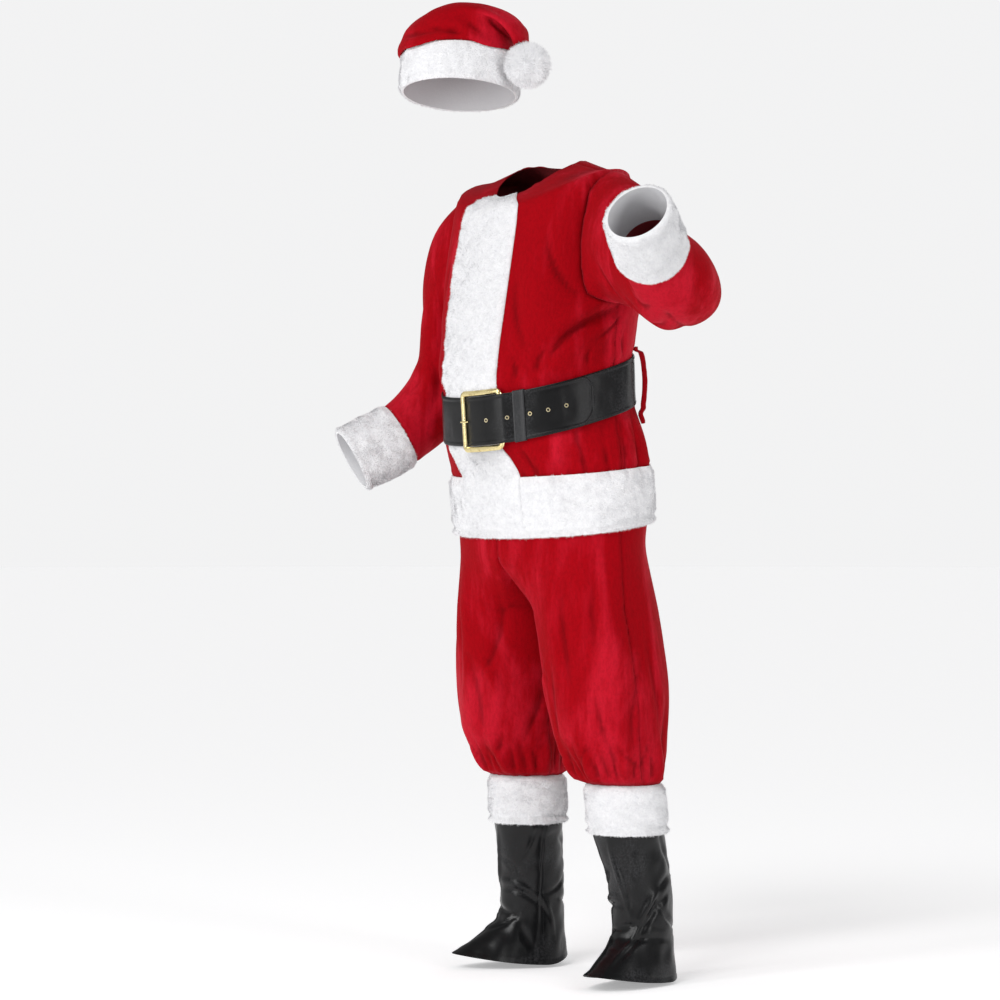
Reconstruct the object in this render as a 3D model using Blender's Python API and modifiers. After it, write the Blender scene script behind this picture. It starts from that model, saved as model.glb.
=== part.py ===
"""A red plush suit with white fur trim, in the hollow form that it has when it is worn.

The suit is a jacket, trousers, a wide belt, a hat and a pair of boot covers. Metres, +Z up. The wearer faces -Y
and has the left hand at +X. Heights in the tables are above the floor that the wearer stands on, and the origin
is in the middle of the neck opening, where the shoulders carry the suit.
"""

import math

import bmesh
import bpy
import numpy as np

NECK_HEIGHT = 1.500
CLOTH = 0.0025
SEAM = 0.0003
FUR = 0.0075

LEFT, RIGHT = 1, -1

# Jacket body
# Each section is a ring round the body. Its heights are those of its front and back, and lift raises its sides.
BODY_SECTIONS = (
    # front, back, lift, half width, front depth, back depth, squareness
    (0.829, 0.867, 0.000, 0.2190, 0.126, 0.168, 0.03),
    (0.941, 0.972, 0.000, 0.2190, 0.142, 0.158, 0.03),
    (0.972, 1.028, 0.000, 0.2130, 0.162, 0.145, 0.03),
    (1.000, 1.094, 0.000, 0.1970, 0.186, 0.126, 0.02),
    (1.045, 1.139, 0.000, 0.1960, 0.1895, 0.1235, 0.02),
    (1.090, 1.184, 0.000, 0.1950, 0.193, 0.121, 0.02),
    (1.118, 1.206, 0.000, 0.2000, 0.197, 0.127, 0.02),
    (1.180, 1.242, 0.000, 0.2040, 0.190, 0.129, 0.03),
    (1.245, 1.275, 0.000, 0.2120, 0.180, 0.128, 0.04),
    (1.340, 1.360, 0.008, 0.2140, 0.161, 0.123, 0.05),
    (1.400, 1.425, 0.022, 0.2080, 0.148, 0.116, 0.05),
    (1.435, 1.470, 0.052, 0.1960, 0.140, 0.107, 0.04),
    (1.450, 1.499, 0.034, 0.1450, 0.128, 0.092, 0.02),
    (1.464, 1.529, 0.028, 0.0800, 0.106, 0.070, 0.00),
)
HEM_EDGE, HEM_SEAM = 0.829, 0.941
BELT_LOW, BELT_MIDDLE, BELT_HIGH = 1.000, 1.045, 1.090
UNDERARM, SHOULDER = 1.245, 1.435
BODY_ROWS = (
    HEM_EDGE, 0.835, 0.843, 0.855, 0.929, HEM_SEAM, 0.968, BELT_LOW, BELT_MIDDLE, BELT_HIGH, 1.118, 1.155, 1.200,
    UNDERARM, 1.290, 1.335, 1.375, 1.407, SHOULDER, 1.445, 1.455, 1.464,
)
BAND_EDGE, BAND_SHOULDER = 22.5, 20.5
SIDE_STEPS, BACK_STEPS = 7, 10
ARMHOLE_REACH = 3
ARMHOLE_ROUNDING = 0.75

# Soft folds, as ridges where depth is above 0 and troughs where it is below
BODY_FOLDS = (
    # degrees from the front, front height, lean, half length, half width, depth
    (78, 1.215, 62, 0.070, 0.020, -0.011),
    (72, 1.245, 62, 0.070, 0.020, 0.008),
    (60, 1.150, 40, 0.060, 0.024, 0.006),
    (84, 1.140, 20, 0.045, 0.022, -0.006),
    (36, 1.300, -25, 0.090, 0.030, 0.004),
    (118, 0.955, 4, 0.060, 0.018, 0.006),
    (52, 0.930, -8, 0.100, 0.026, -0.006),
    (38, 0.900, -6, 0.090, 0.026, 0.005),
    (150, 1.130, 12, 0.050, 0.024, 0.006),
    (180, 0.930, 0, 0.100, 0.030, -0.006),
    (205, 1.140, -14, 0.055, 0.024, 0.006),
    (180, 1.300, 8, 0.090, 0.032, 0.004),
    (232, 0.930, 6, 0.090, 0.026, 0.006),
    (250, 1.200, -48, 0.060, 0.022, -0.008),
    (285, 1.220, 48, 0.060, 0.022, -0.008),
    (300, 0.930, -6, 0.080, 0.026, 0.005),
    (315, 1.150, -30, 0.055, 0.024, 0.005),
)
FOLD_RADIUS = 0.19
BELT_CALM = 0.035

# Fur along a free edge is turned under and sewn, which leaves a roll with a groove above it
HEM_FUR = (0.0020, FUR, 0.0050, FUR, FUR, 0.0015)
BAND_FUR, BAND_UNDER_BELT, BAND_SIDE = 0.0090, 0.0037, 0.0030

# Sleeves
SLEEVE_LEFT = (
    # x, y, height, turn from sideways to ahead, rise, half height, half depth, rings to the next
    (0.258, -0.018, 1.366, 5, -12, 0.1080, 0.0800, 1),
    (0.320, -0.028, 1.336, 8, -20, 0.0940, 0.0800, 1),
    (0.385, -0.042, 1.303, 16, -16, 0.0850, 0.0810, 1),
    (0.443, -0.066, 1.279, 30, -4, 0.0820, 0.0790, 1),
    (0.482, -0.114, 1.300, 43, 14, 0.0750, 0.0730, 1),
    (0.502, -0.169, 1.334, 54, 22, 0.0620, 0.0610, 5),
    (0.553, -0.248, 1.394, 66, 34, 0.0570, 0.0570, 0),
)
SLEEVE_RIGHT = (
    # x, y, height, turn from sideways to ahead, rise, half height, half depth, rings to the next
    (-0.2490, -0.008, 1.351, 0, -16, 0.1060, 0.0800, 1),
    (-0.2760, 0.000, 1.301, 0, -36, 0.0860, 0.0790, 1),
    (-0.2930, 0.006, 1.243, 0, -57, 0.0750, 0.0770, 1),
    (-0.3030, 0.008, 1.175, 10, -74, 0.0690, 0.0750, 1),
    (-0.3180, -0.014, 1.106, 50, -57, 0.0680, 0.0710, 1),
    (-0.3520, -0.088, 1.028, 64, -30, 0.0620, 0.0620, 5),
    (-0.3930, -0.174, 0.978, 64, -28, 0.0610, 0.0610, 0),
)
CUFF_STEPS = (0.00, 0.11, 0.76, 0.87, 0.95, 1.00)
CUFF_FUR = (0.0015, FUR, FUR, 0.0050, FUR, 0.0020)
SLEEVE_FOLDS = (
    # degrees round from the underside, ring, half width in degrees, half length in rings, depth
    (20, 3.2, 26, 1.3, -0.008),
    (75, 4.0, 26, 1.2, 0.006),
    (140, 3.4, 30, 1.2, -0.007),
    (250, 2.4, 34, 1.4, 0.006),
    (300, 4.4, 28, 1.2, -0.006),
)

# Trousers
TROUSER_STEPS, INSEAM_STEPS = 19, 8
LEG_SECTIONS = (
    # height, out from the middle, back, half width, half depth
    (0.280, 0.1450, 0.068, 0.0700, 0.0700),
    (0.372, 0.1405, 0.060, 0.0690, 0.0690),
    (0.381, 0.1390, 0.053, 0.0800, 0.0820),
    (0.420, 0.1385, 0.042, 0.0945, 0.0965),
    (0.470, 0.1385, 0.030, 0.1040, 0.1070),
    (0.560, 0.1330, 0.026, 0.1115, 0.1150),
    (0.640, 0.1240, 0.021, 0.1120, 0.1170),
    (0.700, 0.1160, 0.018, 0.1080, 0.1200),
)
LEG_EDGE, LEG_SEAM = 0.280, 0.372
LEG_ROWS = (LEG_EDGE, 0.286, 0.294, 0.305, 0.361, LEG_SEAM, 0.381, 0.405, 0.440, 0.485, 0.540, 0.600, 0.650, 0.700)
CROTCH_HEIGHT, CROTCH_BACK = 0.740, 0.030
LEFT_STEP, STEP_LOW, STEP_HIGH = 0.009, 0.36, 0.72
SEAT = (0.790, 0.820, 0.2165, 0.1240, 0.1520)
SADDLE_ROWS = 2
HIP_ROWS = (
    # front height on the jacket, distance in from the jacket
    (0.855, 0.0060),
    (0.929, 0.0095),
    (0.968, 0.0080),
    (1.000, 0.0036),
)
WAISTBAND_INSET, WAISTBAND_THICKNESS = 0.0036, 0.0040
LEG_FOLDS = (
    # degrees from the front towards the outside, height, lean, half length, half width, depth
    (-28, 0.405, 14, 0.045, 0.011, 0.008),
    (-6, 0.402, -8, 0.035, 0.010, -0.008),
    (14, 0.405, 6, 0.045, 0.010, 0.007),
    (38, 0.402, -6, 0.035, 0.010, -0.007),
    (60, 0.405, 8, 0.045, 0.011, 0.007),
    (86, 0.404, -4, 0.035, 0.010, -0.007),
    (112, 0.405, 4, 0.045, 0.011, 0.007),
    (140, 0.402, -6, 0.035, 0.010, -0.007),
    (166, 0.405, 6, 0.045, 0.010, 0.007),
    (192, 0.402, 0, 0.035, 0.010, -0.007),
    (218, 0.405, -6, 0.045, 0.011, 0.007),
    (246, 0.402, 8, 0.035, 0.010, -0.007),
    (276, 0.405, -8, 0.045, 0.011, 0.007),
    (304, 0.402, 6, 0.035, 0.010, -0.007),
    (62, 0.640, 3, 0.150, 0.026, 0.007),
    (92, 0.620, -2, 0.140, 0.026, -0.006),
    (6, 0.690, 4, 0.120, 0.020, 0.006),
    (28, 0.560, -6, 0.110, 0.026, -0.005),
    (150, 0.600, 2, 0.140, 0.030, 0.006),
    (205, 0.580, -3, 0.120, 0.028, -0.005),
)

# Belt
STRAP_THICKNESS = 0.0030
STRAP_START, STRAP_END = 28.0, 435.6
TONGUE_ROUND = 7.6
STRAP_LAYERS = (
    # degrees from the front, distance off the jacket
    (28.0, 0.0006),
    (326.0, 0.0006),
    (336.0, 0.0047),
    (361.5, 0.0047),
    (367.0, 0.0080),
    (377.0, 0.0128),
    (383.0, 0.0136),
    (387.5, 0.0134),
    (392.0, 0.0062),
    (396.0, 0.0042),
    (435.6, 0.0042),
)
BUCKLE_MIDDLE, BUCKLE_REACH, BUCKLE_BAR = 12.5, 14.0, 3.0
BUCKLE_HALF_HEIGHT, BUCKLE_BAR_HEIGHT = 0.0565, 0.0100
BUCKLE_LOW, BUCKLE_THICKNESS = 0.0080, 0.0050
EYELET_ANGLES = (17.7, 29.4, 41.0, 50.4, 59.8)
EYELET_OUTER, EYELET_INNER, EYELET_HEIGHT = 0.0040, 0.0021, 0.0010
PRONG_RADIUS = 0.0016
KEEPER_MIDDLE, KEEPER_HALF, KEEPER_THICKNESS = 35.4, 3.0, 0.0015
KEEPER_SPACE = 0.0006
LOOP_ANGLE, LOOP_HALF, LOOP_THICKNESS = 128.0, 3.6, 0.0030
LOOP_ARCH = (
    # up from the belt's middle, off the jacket
    (-0.0620, 0.0022),
    (-0.0560, 0.0022),
    (-0.0500, 0.0110),
    (-0.0250, 0.0160),
    (0.0000, 0.0170),
    (0.0250, 0.0160),
    (0.0500, 0.0110),
    (0.0560, 0.0016),
    (0.0620, 0.0016),
)

# Hat
HAT_CENTRE = (-0.086, -0.140, 1.7320)
HAT_FOLD_TOWARDS, HAT_TILT_BACK, HAT_TILT_SIDE = 12.0, 9.7, -4.3
HAT_RADIUS = 0.1075
BRIM_HEIGHT = 0.072
BRIM_ROWS = (0.00, 0.10, 0.22, 0.34, 0.86, 1.00)
BRIM_FUR = (0.0020, FUR, 0.0055, FUR, FUR, 0.0015)
CROWN_SECTIONS = (
    # outer side across, up; folded side across, up; half depth; rings to the next
    (-0.1075, 0.000, 0.1075, 0.000, 0.1075, 1),
    (-0.1175, 0.014, 0.1100, 0.012, 0.1155, 1),
    (-0.1110, 0.038, 0.1095, 0.024, 0.1120, 1),
    (-0.0850, 0.067, 0.1100, 0.033, 0.1050, 1),
    (-0.0400, 0.088, 0.1130, 0.038, 0.0935, 1),
    (0.0110, 0.097, 0.1175, 0.038, 0.0785, 1),
    (0.0610, 0.091, 0.1230, 0.034, 0.0630, 1),
    (0.1060, 0.073, 0.1280, 0.025, 0.0470, 1),
    (0.1395, 0.043, 0.1330, 0.011, 0.0310, 1),
    (0.1560, 0.004, 0.1390, -0.007, 0.0180, 0),
)
CROWN_STEPS = 28
POMPOM_RADIUS, POMPOM_SEAT = 0.0410, 0.0392

# Boot covers
TOE_OUT = 14.0
BOOT_SECTIONS = (
    # front height, back height, drop at the sides, out from the middle, back, half width, front reach, back reach
    (0.030, 0.022, 0.018, 0.1600, 0.092, 0.0600, 0.170, 0.0660),
    (0.050, 0.045, 0.012, 0.1600, 0.092, 0.0580, 0.132, 0.0640),
    (0.074, 0.070, 0.006, 0.1600, 0.092, 0.0550, 0.094, 0.0620),
    (0.102, 0.100, 0.000, 0.1600, 0.091, 0.0540, 0.0660, 0.0620),
    (0.150, 0.150, 0.000, 0.1590, 0.089, 0.0545, 0.0640, 0.0640),
    (0.200, 0.200, 0.000, 0.1560, 0.083, 0.0555, 0.0660, 0.0665),
    (0.250, 0.250, 0.000, 0.1490, 0.074, 0.0590, 0.0670, 0.0670),
    (0.280, 0.280, 0.000, 0.1450, 0.068, 0.0665, 0.0665, 0.0665),
    (0.335, 0.335, 0.000, 0.1423, 0.0632, 0.0660, 0.0660, 0.0660),
)
BOOT_TURN_LOW, BOOT_TURN_HIGH = 0.12, 0.27
VINYL = 0.0012


def at_height(points):
    """Points whose last number is a height above the floor, moved to the part's own frame."""
    points = np.array(points, float)
    points[..., 2] -= NECK_HEIGHT
    return points


def smooth(stops, table, at):
    """The rows of a table, read at any stop along it on a smooth curve that never passes beyond them."""
    stops, table, at = np.asarray(stops, float), np.asarray(table, float), np.asarray(at, float)
    rises = np.diff(table, axis=0) / np.diff(stops)[:, None]
    before, after = rises[:-1], rises[1:]
    total = np.where(before + after == 0, 1, before + after)
    bends = np.where(before * after > 0, 2 * before * after / total, 0)
    slopes = np.concatenate([rises[:1], bends, rises[-1:]])
    place = np.clip(np.searchsorted(stops, at, side="right") - 1, 0, len(stops) - 2)
    span = stops[place + 1] - stops[place]
    t = np.clip((at - stops[place]) / span, 0, 1)[..., None]
    span = span[..., None]
    return (
        (2 * t**3 - 3 * t**2 + 1) * table[place]
        + (t**3 - 2 * t**2 + t) * span * slopes[place]
        + (3 * t**2 - 2 * t**3) * table[place + 1]
        + (t**3 - t**2) * span * slopes[place + 1]
    )


def soft_step(low, high, at):
    t = np.clip((at - low) / (high - low), 0, 1)
    return t * t * (3 - 2 * t)


def unit(vectors):
    return vectors / np.maximum(np.linalg.norm(vectors, axis=-1, keepdims=True), 1e-12)


def fold_depth(folds, degrees, height, radius):
    """How far the folds of a table stand out at each angle and height."""
    total = np.zeros(np.broadcast(degrees, height).shape)
    for angle, middle, lean, length, width, depth in folds:
        turn = (np.asarray(degrees) - angle + 180) % 360 - 180
        across, along = np.radians(turn) * radius, np.asarray(height) - middle
        lean = math.radians(lean)
        down = along * math.cos(lean) + across * math.sin(lean)
        side = across * math.cos(lean) - along * math.sin(lean)
        total = total + depth * np.exp(-((side / width) ** 2) - (down / length) ** 2)
    return total


class Cloth:
    """A grid of points on the outside of some cloth, with the way out at each. Columns run round it, rows up it."""

    def __init__(self, points, closed=True, real=None):
        self.points = np.array(points, float)
        self.rows, self.columns = self.points.shape[:2]
        self.closed = closed
        wide = self.columns if closed else self.columns - 1
        self.real = np.ones((self.rows - 1, wide), bool) if real is None else real
        self.outward = self.summed_normals()
        a, b, c, d = self.corners()
        self.falling = np.linalg.norm(c - a, axis=-1) > np.linalg.norm(d - b, axis=-1)

    def corners(self):
        wide = self.real.shape[1]
        after = (np.arange(wide) + 1) % self.columns
        p = self.points
        return p[:-1, :wide], p[:-1, after], p[1:, after], p[1:, :wide]

    def summed_normals(self):
        a, b, c, d = self.corners()
        faces = unit(np.cross(c - a, d - b)) * self.real[..., None]
        total = np.zeros_like(self.points)
        wide = self.real.shape[1]
        after = (np.arange(wide) + 1) % self.columns
        for rows in (slice(0, -1), slice(1, None)):
            for columns in (np.arange(wide), after):
                total[rows, columns] += faces
        return unit(total)

    def cells(self, rows, columns):
        """The real cells between two rows and between two columns, counted on round the seam if closed."""
        chosen = np.zeros_like(self.real)
        for column in range(*columns):
            chosen[rows[0] : rows[1], column % self.columns] = True
        return chosen & self.real


def border_shift(cloth, cells):
    """How each point on the border of some cells moves in, so that two pieces meet a seam's width apart."""
    n = cloth.columns
    pulls = {}
    edges = []
    for r, c in zip(*np.nonzero(cells)):
        corners = ((r, c), (r, (c + 1) % n), (r + 1, (c + 1) % n), (r + 1, c))
        middle = sum(cloth.points[k] for k in corners) / 4
        beyond = ((r - 1, c), (r, c + 1), (r + 1, c), (r, c - 1))
        for k, (row, column) in enumerate(beyond):
            if cloth.closed:
                column %= n
            inside = 0 <= row < cells.shape[0] and 0 <= column < cells.shape[1]
            if inside and cells[row, column]:
                continue
            a, b = corners[k], corners[(k + 1) % 4]
            edges.append((a, b))
            along = unit(cloth.points[b] - cloth.points[a])
            inward = middle - (cloth.points[a] + cloth.points[b]) / 2
            inward = unit(inward - along * (inward @ along))
            for end in (a, b):
                pulls.setdefault(end, []).append(inward)
    shift = np.zeros_like(cloth.points)
    for point, ways in pulls.items():
        mean = sum(ways) / len(ways)
        shift[point] = mean / max(mean @ mean, 0.25) * SEAM / 2
    return shift, edges


def wall(name, cloth, cells, low, high, finish):
    """A closed wall over some cells of a grid, from low to high along the way out."""
    low = np.broadcast_to(low, (cloth.rows, cloth.columns))[..., None]
    high = np.broadcast_to(high, (cloth.rows, cloth.columns))[..., None]
    shift, edges = border_shift(cloth, cells)
    inner, outer = cloth.points + cloth.outward * low, cloth.points + cloth.outward * high
    skins = (inner + shift, outer + shift)
    n = cloth.columns
    mesh = bmesh.new()
    made = {}

    def vertex(side, point):
        if (side, point) not in made:
            made[side, point] = mesh.verts.new(skins[side][point])
        return made[side, point]

    for r, c in zip(*np.nonzero(cells)):
        a, b, c2, d = (r, c), (r, (c + 1) % n), (r + 1, (c + 1) % n), (r + 1, c)
        halves = ((a, b, d), (b, c2, d)) if cloth.falling[r, c] else ((a, b, c2), (a, c2, d))
        for half in halves:
            mesh.faces.new([vertex(1, p) for p in half])
            mesh.faces.new([vertex(0, p) for p in reversed(half)])
    # Two pieces that share a border split its faces along the same diagonals, so their gap stays even
    for a, b in edges:
        if np.linalg.norm(outer[b] - inner[a]) < np.linalg.norm(outer[a] - inner[b]):
            halves = ((1, b), (1, a), (0, a)), ((1, b), (0, a), (0, b))
        else:
            halves = ((1, b), (1, a), (0, b)), ((1, a), (0, a), (0, b))
        for half in halves:
            mesh.faces.new([vertex(*corner) for corner in half])
    return object_from(name, mesh, finish)


def object_from(name, mesh, finish, sharp=50):
    data = bpy.data.meshes.new(name)
    mesh.to_mesh(data)
    mesh.free()
    data.shade_smooth()
    data.set_sharp_from_angle(angle=math.radians(sharp))
    data.materials.append(finish)
    made = bpy.data.objects.new(name, data)
    SUIT.objects.link(made)
    return made


def material(name, colour, roughness, metallic=0.0):
    made = bpy.data.materials.new(name)
    made.use_nodes = True
    shader = made.node_tree.nodes["Principled BSDF"]
    shader.inputs["Base Color"].default_value = (*colour, 1)
    shader.inputs["Roughness"].default_value = roughness
    shader.inputs["Metallic"].default_value = metallic
    return made


# Jacket body surface


def body(degrees, station, folded=True):
    """Points on the outside of the jacket. A station is named by its height at the front."""
    degrees, station = np.broadcast_arrays(np.asarray(degrees, float), np.asarray(station, float))
    table = np.array(BODY_SECTIONS)
    row = smooth(table[:, 0], table, station)
    front, back, lift, width, ahead, behind, square = (row[..., k] for k in range(7))
    s, c = np.sin(np.radians(degrees)), np.cos(np.radians(degrees))
    fuller = 1 + square * (2 * s * c) ** 2
    x = width * s * fuller
    y = -np.where(c > 0, ahead, behind) * c * fuller
    z = front + (back - front) * (y + ahead) / (ahead + behind) + lift * s**2
    if folded:
        calm = soft_step(0, BELT_CALM, np.maximum(BELT_LOW - station, station - BELT_HIGH))
        out = fold_depth(BODY_FOLDS, degrees, station, FOLD_RADIUS) * calm
        x, y = x + out * s, y - out * c
    return at_height(np.stack([x, y, z], -1))


def body_angles():
    """The angles of the body grid's columns, with close ones at the edges of the front band."""
    band = [0, 10, BAND_SHOULDER]
    side = list(np.linspace(BAND_EDGE, 90, SIDE_STEPS + 1)[:-1])
    back = list(np.linspace(90, 180, BACK_STEPS + 1))
    half = band + side + back
    return np.array(half + [360 - a for a in reversed(half[1:-1])])


BODY_ANGLES = body_angles()
SIDE_COLUMN = 3 + SIDE_STEPS
COLUMNS = len(BODY_ANGLES)
BAND_COLUMN = 3


def body_row(station):
    return BODY_ROWS.index(station)


def armhole_grid(middle_column):
    """Rounds the corners of one armhole, in columns and rows, so that its edge is an oval."""
    low, high = body_row(UNDERARM), body_row(SHOULDER)
    middle_row, half = (low + high) / 2, (high - low) / 2
    rows, columns = np.mgrid[0 : len(BODY_ROWS), 0:COLUMNS].astype(float)
    p = (columns - middle_column) / ARMHOLE_REACH
    q = (rows - middle_row) / half
    reach = np.maximum(abs(p), abs(q))
    share = ARMHOLE_ROUNDING * np.clip((1.6 - reach) / 0.6, 0, 1)
    pull = reach > 0.99
    across = np.where(pull, p * np.sqrt(np.clip(1 - share * np.minimum(q * q, 1) / 2, 0, 1)), p)
    along = np.where(pull, q * np.sqrt(np.clip(1 - share * np.minimum(p * p, 1) / 2, 0, 1)), q)
    return (across - p) * ARMHOLE_REACH, (along - q) * half


def body_cloth():
    rows, columns = np.mgrid[0 : len(BODY_ROWS), 0:COLUMNS].astype(float)
    real = np.ones((len(BODY_ROWS) - 1, COLUMNS), bool)
    low, high = body_row(UNDERARM), body_row(SHOULDER)
    for side in (SIDE_COLUMN, COLUMNS - SIDE_COLUMN):
        across, along = armhole_grid(side)
        columns, rows = columns + across, rows + along
        real[low:high, side - ARMHOLE_REACH : side + ARMHOLE_REACH] = False
    angles = np.interp(columns, np.arange(COLUMNS + 1), np.append(BODY_ANGLES, 360))
    stations = np.interp(rows, np.arange(len(BODY_ROWS)), BODY_ROWS)
    return Cloth(body(angles, stations), real=real)


def armhole_loop(middle_column):
    """The grid points round one armhole, from the middle of the underarm, to the left as seen from outside."""
    low, high = body_row(UNDERARM), body_row(SHOULDER)
    first, last = middle_column - ARMHOLE_REACH, middle_column + ARMHOLE_REACH
    loop = [(low, c) for c in range(middle_column, last)]
    loop += [(r, last) for r in range(low, high)]
    loop += [(high, c) for c in range(last, first, -1)]
    loop += [(r, first) for r in range(high, low, -1)]
    return loop + [(low, c) for c in range(first, middle_column)]


# Sleeves


def sleeve_cloth(body_grid, middle_column, sections):
    """A sleeve from the armhole's own points to the end of its cuff. Its cuff begins after the ring it returns."""
    loop = armhole_loop(middle_column)
    table = np.array(sections)
    out, rise = np.radians(table[:, 3]), np.radians(table[:, 4])
    axes = (np.sign(table[:, 0]) * np.cos(out) * np.cos(rise), -np.sin(out) * np.cos(rise), np.sin(rise))
    table = np.column_stack([table[:, :3], table[:, 5:], *axes])
    steps = table[:, 5].astype(int)
    cuff = len(sections) - 2
    stops = [k + j / steps[k] for k in range(cuff) for j in range(steps[k])]
    stops += [cuff + t for t in CUFF_STEPS]
    rings = smooth(np.arange(len(sections)), table, np.array(stops))
    centres, axes = at_height(rings[:, :3]), unit(rings[:, 6:])
    under = np.array((0, 0, -1.0))
    angles = 2 * np.pi * np.arange(len(loop)) / len(loop)
    degrees = np.degrees(angles)
    points = [np.array([body_grid.points[p] for p in loop])]
    for number, (centre, axis, ring) in enumerate(zip(centres, axes, rings), start=1):
        under = unit(under - axis * (under @ axis))
        side = np.cross(axis, under)
        out = sum(
            depth
            * np.exp(-((((degrees - angle + 180) % 360 - 180) / wide) ** 2) - ((number - at) / long) ** 2)
            for angle, at, wide, long, depth in SLEEVE_FOLDS
        )
        if number > cuff:
            out = out * 0
        tall, deep = ring[3] + out, ring[4] + out
        points.append(
            centre + np.outer(tall * np.cos(angles), under) + np.outer(deep * np.sin(angles), side)
        )
    sleeve = Cloth(points)
    for column, point in enumerate(loop):
        shared = unit(sleeve.outward[0, column] + body_grid.outward[point])
        sleeve.outward[0, column] = shared
        body_grid.outward[point] = shared
    return sleeve, cuff + 1


def make_jacket():
    grid = body_cloth()
    top = len(BODY_ROWS) - 1
    seam = body_row(HEM_SEAM)
    left, cuff_left = sleeve_cloth(grid, SIDE_COLUMN, SLEEVE_LEFT)
    right, cuff_right = sleeve_cloth(grid, COLUMNS - SIDE_COLUMN, SLEEVE_RIGHT)
    far_side = COLUMNS - SIDE_COLUMN
    wall("jacket_front_left", grid, grid.cells((seam, top), (0, SIDE_COLUMN)), -CLOTH, 0, RED)
    wall("jacket_back", grid, grid.cells((seam, top), (SIDE_COLUMN, far_side)), -CLOTH, 0, RED)
    wall("jacket_front_right", grid, grid.cells((seam, top), (far_side, COLUMNS)), -CLOTH, 0, RED)
    fur = np.zeros(len(BODY_ROWS))
    fur[: len(HEM_FUR)] = HEM_FUR
    fur = fur[:, None]
    band_start = COLUMNS - BAND_COLUMN
    wall("hem_fur_left", grid, grid.cells((0, seam), (BAND_COLUMN, SIDE_COLUMN)), -CLOTH, fur, WHITE)
    wall("hem_fur_back", grid, grid.cells((0, seam), (SIDE_COLUMN, far_side)), -CLOTH, fur, WHITE)
    wall("hem_fur_right", grid, grid.cells((0, seam), (far_side, band_start)), -CLOTH, fur, WHITE)
    band = np.full((len(BODY_ROWS), COLUMNS), BAND_FUR)
    band[:3] += np.array([-0.0050, 0.0005, -0.0025])[:, None]
    band[body_row(BELT_LOW) : body_row(BELT_HIGH) + 1] = BAND_UNDER_BELT
    band[-1] = BAND_SIDE
    for column in (BAND_COLUMN, band_start):
        band[:, column] = np.minimum(band[:, column], BAND_SIDE)
    cells = grid.cells((0, top), (band_start, COLUMNS + BAND_COLUMN))
    wall("front_fur_band", grid, cells, SEAM, band, WHITE)
    for name, sleeve, cuff in (("left", left, cuff_left), ("right", right, cuff_right)):
        end = sleeve.rows - 1
        wall(f"sleeve_{name}", sleeve, sleeve.cells((0, cuff), (0, sleeve.columns)), -CLOTH, 0, RED)
        fur = np.zeros(sleeve.rows)
        fur[cuff:] = CUFF_FUR
        cells = sleeve.cells((cuff, end), (0, sleeve.columns))
        wall(f"cuff_fur_{name}", sleeve, cells, -CLOTH, fur[:, None], WHITE)


# Trousers


HIP_ANGLES = np.array([a for a in BODY_ANGLES if a <= 180 and a != BAND_SHOULDER])


def leg_angles():
    """The angles of a leg's columns, from the front round the outside and back along the inseam."""
    outer = -45 + 270 * np.arange(TROUSER_STEPS + 1) / TROUSER_STEPS
    inner = 225 + 90 * np.arange(1, INSEAM_STEPS) / INSEAM_STEPS
    return np.concatenate([outer, inner])


def step_out(side, height):
    """How far the left leg stands out beyond the right one's mirror image."""
    return LEFT_STEP * (side == LEFT) * (1 - soft_step(STEP_LOW, STEP_HIGH, height))


def leg_points(side, degrees, height):
    """Points on one leg. Degrees run from the front towards the outside."""
    table = np.array(LEG_SECTIONS)
    ring = smooth(table[:, 0], table, height)
    out = fold_depth(LEG_FOLDS, degrees, height, 0.10)
    out = out * soft_step(LEG_SEAM, LEG_SEAM + 0.012, np.asarray(height))
    x = ring[..., 1] + (ring[..., 3] + out) * np.sin(np.radians(degrees))
    y = ring[..., 2] - (ring[..., 4] + out) * np.cos(np.radians(degrees))
    z = np.broadcast_to(height, x.shape)
    return at_height(np.stack([side * x + step_out(side, z), y, z], -1))


def seat_ring(side):
    """The ring where the legs become one: round the hips outside, and down through the crotch inside."""
    front, back, width, ahead, behind = SEAT
    turn = np.radians(HIP_ANGLES)
    x = width * np.sin(turn)
    y = -np.where(turn < np.pi / 2, ahead, behind) * np.cos(turn)
    z = front + (back - front) * (y + ahead) / (ahead + behind)
    outside = np.stack([side * x, y, z], -1)
    t = np.linspace(0, 1, INSEAM_STEPS + 1)[1:-1]
    depth = 1 - abs(2 * t - 1) ** 2.4
    going_down = behind + (CROTCH_BACK - behind) * 2 * t
    going_up = CROTCH_BACK - (ahead + CROTCH_BACK) * (2 * t - 1)
    y = np.where(t < 0.5, going_down, going_up)
    edge = back + (front - back) * t
    z = edge + (CROTCH_HEIGHT - edge) * depth
    inside = np.stack([np.zeros_like(t), y, z], -1)
    return at_height(np.concatenate([outside, inside]))


def hip_ring(angles, station, inset):
    """Points on the trousers, a small way inside the jacket at one of its stations."""
    ring = body(angles, station)
    ring[:, :2] -= unit(ring[:, :2]) * inset
    return ring


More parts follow.
